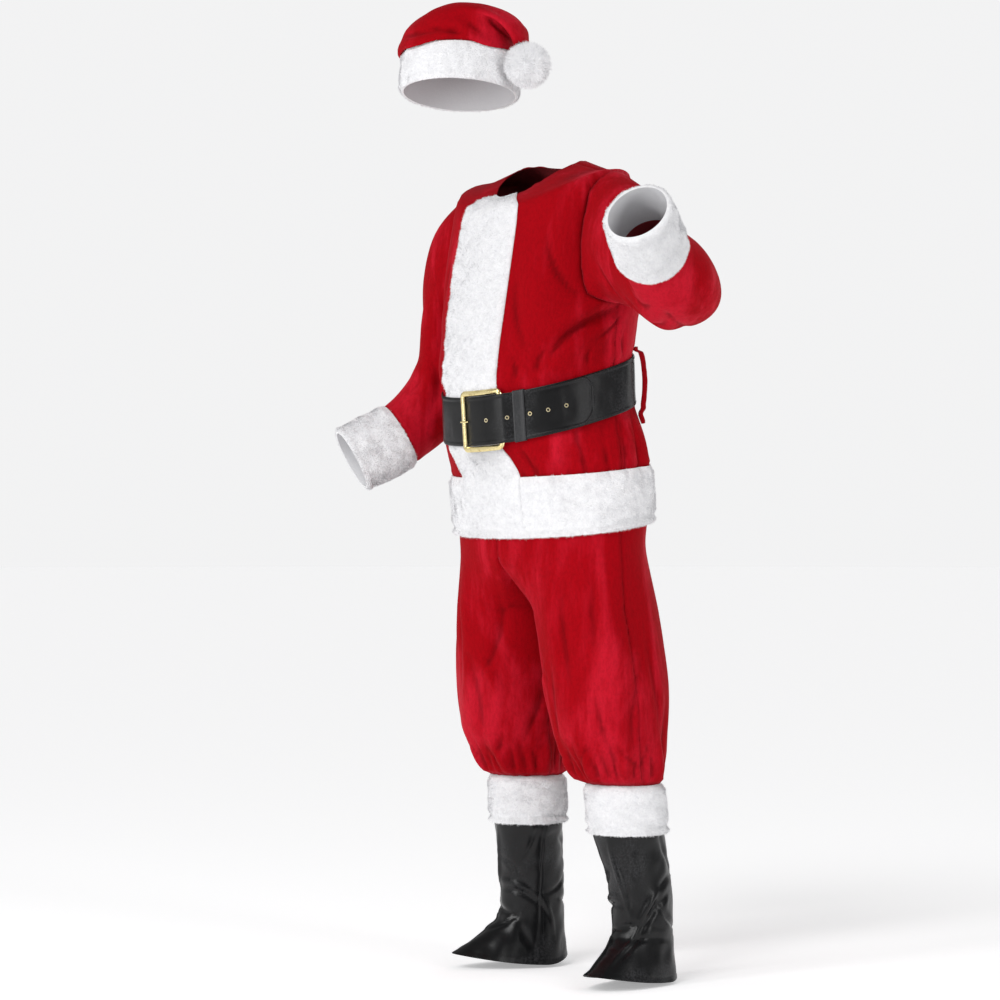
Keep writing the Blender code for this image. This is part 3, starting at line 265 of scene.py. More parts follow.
LEG_CREASES = (
    (-18, 0.400, 10, 0.004, 0.028, 0.0050, -0.0058),
    (4, 0.404, -8, 0.004, 0.036, 0.0048, -0.0062),
    (25, 0.398, 5, -0.004, 0.024, 0.0046, -0.0054),
    (49, 0.406, -4, 0.004, 0.038, 0.0052, -0.0060),
    (72, 0.400, 6, 0.004, 0.026, 0.0046, -0.0052),
    (98, 0.404, -4, -0.004, 0.034, 0.0050, -0.0058),
    (126, 0.399, 3, 0.004, 0.028, 0.0050, -0.0056),
    (152, 0.405, -5, 0.004, 0.036, 0.0048, -0.0054),
    (178, 0.400, 4, -0.004, 0.026, 0.0048, -0.0056),
    (204, 0.404, 0, 0.004, 0.034, 0.0050, -0.0058),
    (232, 0.399, -4, 0.004, 0.026, 0.0052, -0.0052),
    (262, 0.404, 5, -0.004, 0.034, 0.0048, -0.0056),
    (290, 0.400, 4, 0.004, 0.028, 0.0048, -0.0056),
    (318, 0.404, -6, 0.004, 0.034, 0.0050, -0.0052),
    (12, 0.424, 34, 0.006, 0.030, 0.0055, -0.0040),
    (62, 0.432, -40, 0.006, 0.032, 0.0055, -0.0042),
    (88, 0.428, 30, -0.006, 0.028, 0.0052, -0.0036),
    (330, 0.430, -36, 0.006, 0.030, 0.0055, -0.0040),
    (-14, 0.520, 8, 0.008, 0.080, 0.0090, -0.0058),
    (16, 0.640, 4, 0.006, 0.090, 0.0095, -0.0054),
    (44, 0.480, -10, 0.006, 0.060, 0.0080, -0.0054),
    (50, 0.690, 3, -0.006, 0.070, 0.0090, -0.0050),
    (76, 0.510, 8, 0.008, 0.070, 0.0085, -0.0058),
    (108, 0.560, -6, 0.006, 0.100, 0.0090, -0.0052),
    (124, 0.470, 10, -0.006, 0.055, 0.0080, -0.0050),
    (172, 0.640, 3, 0.008, 0.090, 0.0090, -0.0050),
    (188, 0.510, -6, 0.006, 0.070, 0.0085, -0.0052),
    (226, 0.480, 8, -0.006, 0.055, 0.0080, -0.0048),
    (-36, 0.640, -14, 0.010, 0.070, 0.0090, -0.0056),
    (250, 0.620, 12, 0.008, 0.070, 0.0090, -0.0050),
    (-30, 0.560, 24, 0.010, 0.050, 0.0080, 0.0044),
    (284, 0.500, -18, 0.008, 0.060, 0.0085, -0.0050),
)

# Belt: degrees from the front and distance off the jacket
STRAP_THICKNESS, STRAP_START, STRAP_END, TONGUE_ROUND = 0.0030, 28.0, 435.6, 7.6
STRAP_LAYERS = (
    (28.0, 0.0006), (326.0, 0.0006), (336.0, 0.0047), (361.5, 0.0047), (367.0, 0.0080), (377.0, 0.0128),
    (383.0, 0.0136), (387.5, 0.0134), (392.0, 0.0062), (396.0, 0.0042), (435.6, 0.0042),
)
# How long the strap is for each degree
DEGREE_LENGTH = 0.0034
BUCKLE_MIDDLE, BUCKLE_HALF_WIDTH, BUCKLE_HALF_HEIGHT = 12.5, 0.0476, 0.0565
BUCKLE_BAR, BUCKLE_LOW, BUCKLE_THICKNESS, BUCKLE_BEND = 0.0101, 0.0080, 0.0050, 0.0065
BUCKLE_PROFILE = (
    (-BUCKLE_BAR / 2, 0), (-BUCKLE_BAR / 2, 0.0022), (-0.0037, 0.0040), (-0.0015, BUCKLE_THICKNESS),
    (0.0015, BUCKLE_THICKNESS), (0.0037, 0.0040), (BUCKLE_BAR / 2, 0.0022), (BUCKLE_BAR / 2, 0),
)
KEEPER_MIDDLE, KEEPER_HALF, KEEPER_THICKNESS, KEEPER_SPACE = 35.4, 3.0, 0.0015, 0.0006
LOOP_ANGLE, LOOP_HALF, LOOP_THICKNESS = 128.0, 3.6, 0.0030
LOOP_FULLNESS = 0.0055
LOOP_ARCH = (
    (-0.0620, 0.0022), (-0.0560, 0.0022), (-0.0500, 0.0110), (-0.0250, 0.0160), (0.0000, 0.0170),
    (0.0250, 0.0160), (0.0500, 0.0110), (0.0560, 0.0016), (0.0620, 0.0016),
)

# Hat: outer side across, up; folded side across, up; half depth
HAT_CENTRE = (-0.086, -0.140, 1.7320)
HAT_FOLD_TOWARDS, HAT_TILT_BACK, HAT_TILT_SIDE = 12.0, 9.7, -4.3
HAT_RADIUS, BRIM_HEIGHT = 0.1075, 0.072
BRIM_ROWS = (0.00, 0.10, 0.22, 0.34, 0.86, 1.00)
BRIM_FUR = (0.0020, FUR, 0.0055, FUR, FUR, 0.0015)
CROWN_SECTIONS = (
    (-0.1075, 0.000, 0.1075, 0.000, 0.1075),
    (-0.1175, 0.014, 0.1100, 0.012, 0.1155),
    (-0.1110, 0.038, 0.1095, 0.024, 0.1120),
    (-0.0850, 0.067, 0.1100, 0.033, 0.1050),
    (-0.0400, 0.088, 0.1130, 0.038, 0.0935),
    (0.0110, 0.097, 0.1175, 0.038, 0.0785),
    (0.0610, 0.091, 0.1230, 0.034, 0.0630),
    (0.1060, 0.073, 0.1280, 0.025, 0.0470),
    (0.1395, 0.043, 0.1330, 0.011, 0.0310),
    (0.1560, 0.004, 0.1390, -0.007, 0.0180),
)
# Creases of the crown: degrees from its fold, section, lean a section, half width, half length, depth
CROWN_CREASES = (
    (8, 4.4, 0, 12, 0.8, -0.0074),
    (344, 3.2, -14, 6, 1.4, -0.0062),
    (330, 5.0, -10, 11, 0.9, -0.0054),
    (322, 2.2, -10, 7, 1.0, -0.0048),
    (304, 1.3, -5, 7, 0.8, -0.0085),
    (288, 1.7, -26, 12, 0.5, -0.0052),
    (262, 1.5, -30, 26, 0.34, -0.0060),
    (300, 3.8, -8, 13, 1.0, -0.0051),
    (30, 5.2, 10, 11, 0.9, -0.0054),
    (58, 3.6, 8, 14, 1.0, -0.0051),
    (110, 2.8, 6, 15, 1.0, -0.0042),
    (238, 3.2, -8, 14, 1.1, -0.0042),
    (150, 4.6, 10, 15, 1.1, -0.0042),
    (205, 5.2, -8, 14, 1.0, -0.0038),
    (180, 1.4, 4, 12, 0.6, -0.0032),
    (75, 1.0, 0, 8, 0.5, -0.0029),
    (130, 7.0, 10, 20, 0.8, -0.0032),
    (230, 7.2, -10, 20, 0.8, -0.0029),
)
# How far the crown sags over its seam: degrees from its fold, half width, depth
CROWN_SLOUCH = (
    (262, 26, 0.0120),
    (338, 19, 0.0110),
    (20, 24, 0.0070),
    (82, 22, 0.0100),
    (128, 20, 0.0070),
    (172, 24, 0.0110),
    (216, 18, 0.0080),
)
CROWN_SLOUCH_AT, CROWN_SLOUCH_OUT = 0.45, 0.55

# Boot covers: front, back, drop at the sides, out from the middle, back, half width, front reach, back reach
TOE_OUT = 14.0
BOOT_SECTIONS = (
    (0.030, 0.022, 0.018, 0.1600, 0.092, 0.0600, 0.170, 0.0660),
    (0.050, 0.045, 0.012, 0.1600, 0.092, 0.0580, 0.132, 0.0640),
    (0.074, 0.070, 0.006, 0.1600, 0.092, 0.0550, 0.094, 0.0620),
    (0.102, 0.100, 0.000, 0.1600, 0.091, 0.0540, 0.0660, 0.0620),
    (0.150, 0.150, 0.000, 0.1590, 0.089, 0.0545, 0.0640, 0.0640),
    (0.200, 0.200, 0.000, 0.1560, 0.083, 0.0555, 0.0660, 0.0665),
    (0.250, 0.250, 0.000, 0.1490, 0.074, 0.0590, 0.0670, 0.0670),
    (0.280, 0.280, 0.000, 0.1450, 0.068, 0.0665, 0.0665, 0.0665),
    (0.335, 0.335, 0.000, 0.1423, 0.0632, 0.0660, 0.0660, 0.0660),
)
BOOT_TURN_LOW, BOOT_TURN_HIGH, VINYL = 0.12, 0.27, 0.0012
BOOT_STEP, BOOT_OUTSIDE, BOOT_INSIDE = 0.0045, 90, 64
BACK_EDGE, BACK_FADE = 278.0, 222.0
# Creases of a boot cover: degrees from the front towards the outside, height, and the rest as for the jacket
BOOT_CREASES = (
    (0, 0.110, 80, 0.006, 0.050, 0.0050, -0.0050),
    (-10, 0.096, 84, 0.004, 0.045, 0.0045, 0.0036),
    (56, 0.152, 43, 0.012, 0.058, 0.0055, 0.0052),
    (64, 0.140, 46, 0.008, 0.050, 0.0060, -0.0056),
    (50, 0.089, 86, 0.004, 0.046, 0.0036, -0.0042),
    (12, 0.205, 1, 0.004, 0.062, 0.0060, 0.0044),
    (22, 0.198, 3, -0.004, 0.056, 0.0056, -0.0040),
    (20, 0.070, 14, 0.004, 0.030, 0.0045, 0.0042),
    (28, 0.066, 20, 0.004, 0.026, 0.0045, -0.0036),
    (40, 0.232, 30, 0.008, 0.040, 0.0060, -0.0034),
    (92, 0.186, 52, 0.008, 0.042, 0.0058, -0.0042),
    (104, 0.118, -58, 0.006, 0.040, 0.0050, -0.0042),
    (126, 0.232, -30, 0.006, 0.044, 0.0058, -0.0036),
    (150, 0.104, 76, 0.004, 0.036, 0.0052, -0.0042),
    (168, 0.166, -64, 0.006, 0.040, 0.0052, -0.0046),
    (196, 0.122, 66, 0.006, 0.042, 0.0052, -0.0046),
    (214, 0.216, 34, 0.008, 0.046, 0.0060, -0.0038),
    (236, 0.158, -60, 0.006, 0.038, 0.0050, -0.0040),
    (262, 0.112, 24, 0.006, 0.040, 0.0055, 0.0036),
    (296, 0.070, 40, 0.004, 0.030, 0.0050, -0.0040),
    (320, 0.160, 72, 0.008, 0.044, 0.0048, 0.0050),
    (318, 0.148, 74, 0.008, 0.040, 0.0050, -0.0046),
    (334, 0.200, 58, 0.006, 0.036, 0.0055, -0.0040),
    (344, 0.078, -62, 0.006, 0.034, 0.0048, -0.0044),
    (300, 0.236, -20, 0.006, 0.044, 0.0060, -0.0036),
)

# Trim: how far each hem's roll reaches, and the backing's and the tips' share of the fur's depth
HEM_ROLL, LEG_ROLL = 0.016, 0.014
BACKING_SHARE, PILE_SHARE = 0.76, 1.04

# Thread on the strap: its share of the half height, and the degrees at its start
THREAD_HEIGHT, THREAD_START = 0.905, 76

# Stage. Suns: degrees from the front, degrees up, degrees wide, power. Strips: degrees from the front, power
SUNS = {
    "key": (24, 40, 22, 0.98),
    "side": (116, 26, 40, 0.10),
    "fill": (-50, 20, 50, 0.30),
    "back": (200, 12, 50, 0.62),
}
STRIPS = {"near_strip": (92, 30), "far_strip": (4, 50)}
SUN_DISTANCE, STRIP_DISTANCE, STRIP_HEIGHT, STRIP_TARGET = 4, 3.6, 0.2, (0, 0, -0.7)
STRIP_WIDTH, STRIP_LENGTH = 0.7, 2.6
ROOM_LIGHT, ROOM_SHINE, BACKDROP = 0.38, 0.20, (0.893, 0.893, 0.897, 1)
FLOOR_RINGS, FLOOR_STEPS, FLOOR_GLOW = (0.0, 0.8, 1.6, 3.0, 6.0, 12.0, 40.0), 48, 0.395
CAMERA_TARGET, CAMERA_DISTANCE, CAMERA_ASIDE, CAMERA_LENS = (0, 0, -0.6), 6.5, 0.0906, 124.02


# Shapes


def at_height(points):
    """Points whose last number is a height above the floor, moved to the part's own frame."""
    points = np.array(points, float)
    points[..., 2] -= NECK_HEIGHT
    return points


def smooth(stops, table, at):
    """The rows of a table, read at any stop along it on a smooth curve that never passes beyond them."""
    stops, table, at = np.asarray(stops, float), np.asarray(table, float), np.asarray(at, float)
    rises = np.diff(table, axis=0) / np.diff(stops)[:, None]
    before, after = rises[:-1], rises[1:]
    total = np.where(before + after == 0, 1, before + after)
    bends = np.where(before * after > 0, 2 * before * after / total, 0)
    slopes = np.concatenate([rises[:1], bends, rises[-1:]])
    place = np.clip(np.searchsorted(stops, at, side="right") - 1, 0, len(stops) - 2)
    span = stops[place + 1] - stops[place]
    t = np.clip((at - stops[place]) / span, 0, 1)[..., None]
    span = span[..., None]
    return (
        (2 * t**3 - 3 * t**2 + 1) * table[place]
        + (t**3 - 2 * t**2 + t) * span * slopes[place]
        + (3 * t**2 - 2 * t**3) * table[place + 1]
        + (t**3 - t**2) * span * slopes[place + 1]
    )


def soft_step(low, high, at):
    t = np.clip((at - low) / (high - low), 0, 1)
    return t * t * (3 - 2 * t)


def unit(vectors):
    return vectors / np.maximum(np.linalg.norm(vectors, axis=-1, keepdims=True), 1e-12)


def ripple(points, size, seed):
    """Smooth uneven waves over some points, about size metres apart and from -1 to 1."""
    random = np.random.default_rng(seed)
    total = np.zeros(np.shape(points)[:-1])
    for _ in range(7):
        way = unit(random.normal(size=3)) * 2 * math.pi / size * random.uniform(0.6, 1.5)
        total = total + np.sin(np.asarray(points) @ way + random.uniform(0, 2 * math.pi))
    return np.clip(total / 3, -1, 1)


def spread(gaps, cell):
    """Places along some gaps about a cell apart, each as the gap's number plus the share of it."""
    counts = [max(1, round(gap / cell)) for gap in gaps]
    return np.array([k + j / n for k, n in enumerate(counts) for j in range(n)] + [len(counts)])


def fold_depth(folds, degrees, height, radius):
    """How far the folds of a table stand out at each angle and height."""
    total = np.zeros(np.broadcast(degrees, height).shape)
    for angle, middle, lean, bow, length, width, depth in folds:
        turn = (np.asarray(degrees) - angle + 180) % 360 - 180
        across, along = np.radians(turn) * radius, np.asarray(height) - middle
        lean = math.radians(lean)
        down = along * math.cos(lean) + across * math.sin(lean)
        side = across * math.cos(lean) - along * math.sin(lean) - bow * (down / length) ** 2
        total = total + depth * np.exp(-((side / width) ** 2) - (down / length) ** 2)
    return total


def ring_folds(folds, degrees, ring):
    """How far the folds of a table stand out at each angle round a tube and ring along it."""
    total = np.zeros(np.broadcast(degrees, ring).shape)
    for angle, middle, lean, wide, long, depth in folds:
        turn = (degrees - angle - lean * (ring - middle) + 180) % 360 - 180
        total = total + depth * np.exp(-((turn / wide) ** 2) - ((ring - middle) / long) ** 2)
    return total


class Cloth:
    """A grid of points on the outside of some cloth, with the way out at each.

    Its columns run round the cloth, and its rows run up it.
    """

    def __init__(self, points, closed=True, real=None):
        self.points = np.array(points, float)
        self.rows, self.columns = self.points.shape[:2]
        self.closed = closed
        wide = self.columns if closed else self.columns - 1
        self.real = np.ones((self.rows - 1, wide), bool) if real is None else real
        self.after = (np.arange(wide) + 1) % self.columns
        p = self.points
        a, b, c, d = p[:-1, :wide], p[:-1, self.after], p[1:, self.after], p[1:, :wide]
        faces = unit(np.cross(c - a, d - b)) * self.real[..., None]
        total = np.zeros_like(p)
        for rows in (slice(0, -1), slice(1, None)):
            total[rows, :wide] += faces
            np.add.at(total, (np.arange(self.rows)[rows][:, None], self.after[None]), faces)
        self.outward = unit(total)

    def cells(self, rows, columns):
        """The real cells between two rows and between two columns, counted on round the seam if closed."""
        chosen = np.zeros_like(self.real)
        for column in range(*columns):
            chosen[rows[0] : rows[1], column % self.columns] = True
        return chosen & self.real

    def corners(self, cells):
        """The four grid points of each of some cells, as rows of (row, column) numbers."""
        r, c = np.nonzero(cells)
        after = self.after[c]
        return [np.stack(p, -1) for p in ((r, c), (r, after), (r + 1, after), (r + 1, c))]

    def borders(self, cells):
        """Both ends of each cell side with no chosen cell beyond it, in the order of the cell's corners."""
        padded = np.zeros((cells.shape[0] + 2, cells.shape[1] + 2), bool)
        padded[1:-1, 1:-1] = cells
        if self.closed:
            padded[1:-1, 0], padded[1:-1, -1] = cells[:, -1], cells[:, 0]
        corners = self.corners(cells)
        r, c = np.nonzero(cells)
        found = []
        for k, (down, right) in enumerate(((-1, 0), (0, 1), (1, 0), (0, -1))):
            free = ~padded[r + 1 + down, c + 1 + right]
            found.append((corners[k][free], corners[(k + 1) % 4][free]))
        return [np.concatenate(ends) for ends in zip(*found)]


def made_object(name, vertices, faces, finishes, which=None, smooth_faces=True, **values):
    """An object from arrays.

    faces is rows of corner numbers, which the finish of each face, and values are float attributes.
    """
    mesh = bpy.data.meshes.new(name)
    mesh.vertices.add(len(vertices))
    mesh.vertices.foreach_set("co", np.asarray(vertices, np.float32).ravel())
    corners = faces.shape[1]
    mesh.loops.add(faces.size)
    mesh.loops.foreach_set("vertex_index", faces.astype(np.int32).ravel())
    mesh.polygons.add(len(faces))
    mesh.polygons.foreach_set("loop_start", np.arange(0, faces.size, corners, dtype=np.int32))
    mesh.polygons.foreach_set("use_smooth", np.full(len(faces), smooth_faces))
    if which is not None:
        mesh.polygons.foreach_set("material_index", np.asarray(which, np.int32))
    for finish in finishes:
        mesh.materials.append(finish)
    mesh.update(calc_edges=True)
    mesh.validate()
    for key, value in values.items():
        layer = mesh.attributes.new(key, "FLOAT", "POINT")
        layer.data.foreach_set("value", np.asarray(value, np.float32))
    made = bpy.data.objects.new(name, mesh)
    bpy.context.scene.collection.objects.link(made)
    return made


def shell(name, cloth, cells, low, high, finishes):
    """A thin closed shell over some cells, from low to high along the way out.

    finishes are those of its face and its back.
    """
    low = np.broadcast_to(low, (cloth.rows, cloth.columns))[..., None]
    high = np.broadcast_to(high, (cloth.rows, cloth.columns))[..., None]
    corners = cloth.corners(cells)
    used = np.zeros((cloth.rows, cloth.columns), bool)
    for corner in corners:
        used[corner[:, 0], corner[:, 1]] = True
    number = np.cumsum(used).reshape(used.shape) - 1
    count = int(used.sum())
    outer = cloth.points + cloth.outward * high
    inner = cloth.points + cloth.outward * low
    face = np.stack([number[c[:, 0], c[:, 1]] for c in corners], -1)
    a, b = (number[e[:, 0], e[:, 1]] for e in cloth.borders(cells))
    rim = np.stack([b, a, a + count, b + count], -1)
    faces = np.concatenate([face, face[:, ::-1] + count, rim])
    which = np.repeat((0, 1, 0), (len(face), len(face), len(rim)))
    # How near each point is to the border and how deep it lies in a fold become the seam and hollow
    # attributes, by which the plush finish paints shade in seam grooves and folds
    away = border_distance(cloth, cells)[used]
    hollow = hollows(cloth, outer)[used]
    made = made_object(
        name,
        np.concatenate([outer[used], inner[used]]),
        faces,
        finishes,
        which,
        seam=np.tile(np.exp(-((away / 0.004) ** 2)), 2),
        hollow=np.tile(hollow, 2),
    )
    made.data.set_sharp_from_angle(angle=math.radians(62))
    return made


def border_distance(cloth, cells):
    """How far each grid point near some cells is from their border, up to 30 mm, and 30 mm elsewhere."""
    ends = np.unique(np.concatenate(cloth.borders(cells)), axis=0)
    tree = KDTree(len(ends))
    for k, (r, c) in enumerate(ends):
        tree.insert(cloth.points[r, c], k)
    tree.balance()
    away = np.full((cloth.rows, cloth.columns), 0.03)
    near = np.zeros_like(away, bool)
    for corner in cloth.corners(cells):
        near[corner[:, 0], corner[:, 1]] = True
    for r, c in zip(*np.nonzero(near)):
        away[r, c] = min(0.03, tree.find(cloth.points[r, c])[2])
    return away


def hollows(cloth, outer, reach=2):
    """How deep each grid point lies in a fold, from 0 to 1."""
    rows = np.arange(cloth.rows)
    columns = np.arange(cloth.columns)
    around = 0
    for k in (-reach, reach):
        side = (columns + k) % cloth.columns if cloth.closed else np.clip(columns + k, 0, cloth.columns - 1)
        around = around + outer[:, side] + outer[np.clip(rows + k, 0, cloth.rows - 1)]
    depth = ((around / 4 - outer) * cloth.outward).sum(-1)
    return np.clip((depth - 0.0002) / 0.0016, 0, 1)


def sewn(cloth, cells, seed, groove=0.0013, puff=0.0007):
    """How far a cloth's face stands out where it is sewn: sunk at the seam, full beside it, and puckered."""
    away = border_distance(cloth, cells)
    pucker = ripple(cloth.points, 0.020, seed) * np.exp(-away / 0.011)
    full = np.exp(-(((away - 0.009) / 0.006) ** 2))
    return -groove * np.exp(-((away / 0.0035) ** 2)) + puff * full + 0.0009 * pucker


def pile(name, cloth, cells, root, reach, finish, seed):
    """Short fur over some cells, as joined blades.

    root is the depth of its backing, and reach that of its tips.
    """
    sizes = bpy.context.scene.suit_sizes
    random = np.random.default_rng(seed)
    root = np.broadcast_to(root, (cloth.rows, cloth.columns))
    reach = np.broadcast_to(reach, (cloth.rows, cloth.columns))
    corners = [tuple(c.T) for c in cloth.corners(cells)]
    p = [cloth.points[c] + cloth.outward[c] * root[c][:, None] for c in corners]
    area = np.linalg.norm(np.cross(p[2] - p[0], p[3] - p[1]), axis=1) / 2
    count = int(area.sum() * 1e6 * sizes.blades)
    cell = np.sort(random.choice(len(area), count, p=area / area.sum()))
    u, v = random.random((2, count))
    shares = ((1 - u) * (1 - v), u * (1 - v), u * v, (1 - u) * v)
    place = sum(s[:, None] * q[cell] for s, q in zip(shares, p))
    out = unit(sum(s[:, None] * cloth.outward[c][cell] for s, c in zip(shares, corners)))
    tall = sum(s * (reach[c] - root[c])[cell] for s, c in zip(shares, corners))
    hanging = np.array((0, 0, -1.0))
    down = unit(hanging - out * (out @ hanging)[:, None])
    side = np.cross(out, down)
    # Tufts lean together, so the lean of a blade comes mostly from where it stands
    turn = 0.9 * ripple(place, 0.030, seed + 1) + 0.6 * ripple(place, 0.070, seed + 2)
    turn = turn + random.normal(0, 0.9, count)
    comb = down * np.cos(turn)[:, None] + side * np.sin(turn)[:, None]
    lean = 0.0032 + 0.0006 * ripple(place, 0.014, seed + 3) + random.normal(0, 0.0008, count)
    tall = tall * (0.84 + 0.10 * ripple(place, 0.009, seed + 4) + random.normal(0, 0.14, count))
    tall = np.clip(tall, 0.0006, 0.0036)
    tip = place + out * tall[:, None] + comb * lean[:, None]
    # A blade lies with its flat side out, so that it takes the light as the cloth under it does
    flat = unit(np.cross(comb, out) + comb * random.normal(0, 0.3, (count, 1))) * sizes.blade_width / 2
    vertices = np.stack([place - flat, place + flat, tip], 1).reshape(-1, 3)
    made = made_object(name, vertices, np.arange(3 * count).reshape(-1, 3), [finish], smooth_faces=False)
    made.visible_shadow = False
    return made


def stitches(name, path, outward, finish, length=0.0030, step=0.0046, width=0.0006):
    """A row of thread stitches along a path that lies on a surface, joined in one mesh."""
    along = np.concatenate([[0], np.cumsum(np.linalg.norm(np.diff(path, axis=0), axis=1))])
    middles = np.arange(step / 2, along[-1], step)

    def at(places, values):
        return np.stack([np.interp(places, along, values[:, k]) for k in range(3)], -1)

    start, end = at(middles - length / 2, path), at(middles + length / 2, path)
    out = unit(at(middles, outward))
    way = unit(end - start)
    side = np.cross(way, out)
    rings = []
    for t, wide, tall in ((0, 0.25, -0.3), (0.2, 1, 0.45), (0.8, 1, 0.45), (1, 0.25, -0.3)):
        middle = start + (end - start) * t
        for across, up in ((-1, 0), (-0.5, 0.8), (0.5, 0.8), (1, 0)):
            off = out * (up * width / 2 + tall * width / 3)
            rings.append(middle + side * across * wide * width / 2 + off)
    vertices = np.stack(rings, 1).reshape(-1, 3)
    first = [4 * a + b for a in range(3) for b in range(3)]
    one = np.array([(k, k + 1, k + 5, k + 4) for k in first])
    faces = (one[None] + 16 * np.arange(len(middles))[:, None, None]).reshape(-1, 4)
    return made_object(name, vertices, faces[:, ::-1], [finish])


# Jacket


def body_angles():
    """The angles of the body grid's columns, with close ones at the edges of the front band."""
    band = [0, 10, BAND_SHOULDER]
    side = list(np.linspace(BAND_EDGE, 90, SIDE_STEPS + 1)[:-1])
    back = list(np.linspace(90, 180, BACK_STEPS + 1))
    half = band + side + back
    return np.array(half + [360 - a for a in reversed(half[1:-1])])


BODY_ANGLES = body_angles()
SIDE_COLUMN, COLUMNS = 3 + SIDE_STEPS, len(BODY_ANGLES)


def body(degrees, station):
    """Points on the outside of the jacket. A station is named by its height at the front."""
    degrees, station = np.broadcast_arrays(np.asarray(degrees, float), np.asarray(station, float))
    table = np.array(BODY_SECTIONS)
    row = smooth(table[:, 0], table, station)
    front, back, lift, width, ahead, behind, square = (row[..., k] for k in range(7))
    s, c = np.sin(np.radians(degrees)), np.cos(np.radians(degrees))
    fuller = 1 + square * (2 * s * c) ** 2
    x = width * s * fuller
    y = -np.where(c > 0, ahead, behind) * c * fuller
    z = front + (back - front) * (y + ahead) / (ahead + behind) + lift * s**2
    calm = soft_step(0, BELT_CALM, np.maximum(BELT_LOW - station, station - BELT_HIGH))
    creased = soft_step(0, 0.012, np.maximum(BELT_LOW - station, station - BELT_HIGH))
    out = fold_depth(BODY_FOLDS, degrees, station, FOLD_RADIUS) * calm
    out = out + fold_depth(JACKET_CREASES, degrees, station, FOLD_RADIUS) * creased
    return at_height(np.stack([x + out * s, y - out * c, z], -1))


def body_row(station):
    return BODY_ROWS.index(station)


def armhole_rounding(row, column, middle_column):
    """How the grid round one armhole shifts, in columns and rows, so that its edge is an oval."""
    low, high = body_row(UNDERARM), body_row(SHOULDER)
    middle_row, half = (low + high) / 2, (high - low) / 2
    p = (column - middle_column) / ARMHOLE_REACH
    q = (row - middle_row) / half
    reach = np.maximum(abs(p), abs(q))
    share = ARMHOLE_ROUNDING * np.clip((1.6 - reach) / 0.6, 0, 1)
    pull = reach > 0.99
    across = np.where(pull, p * np.sqrt(np.clip(1 - share * np.minimum(q * q, 1) / 2, 0, 1)), p)
    along = np.where(pull, q * np.sqrt(np.clip(1 - share * np.minimum(p * p, 1) / 2, 0, 1)), q)
    return (across - p) * ARMHOLE_REACH, (along - q) * half


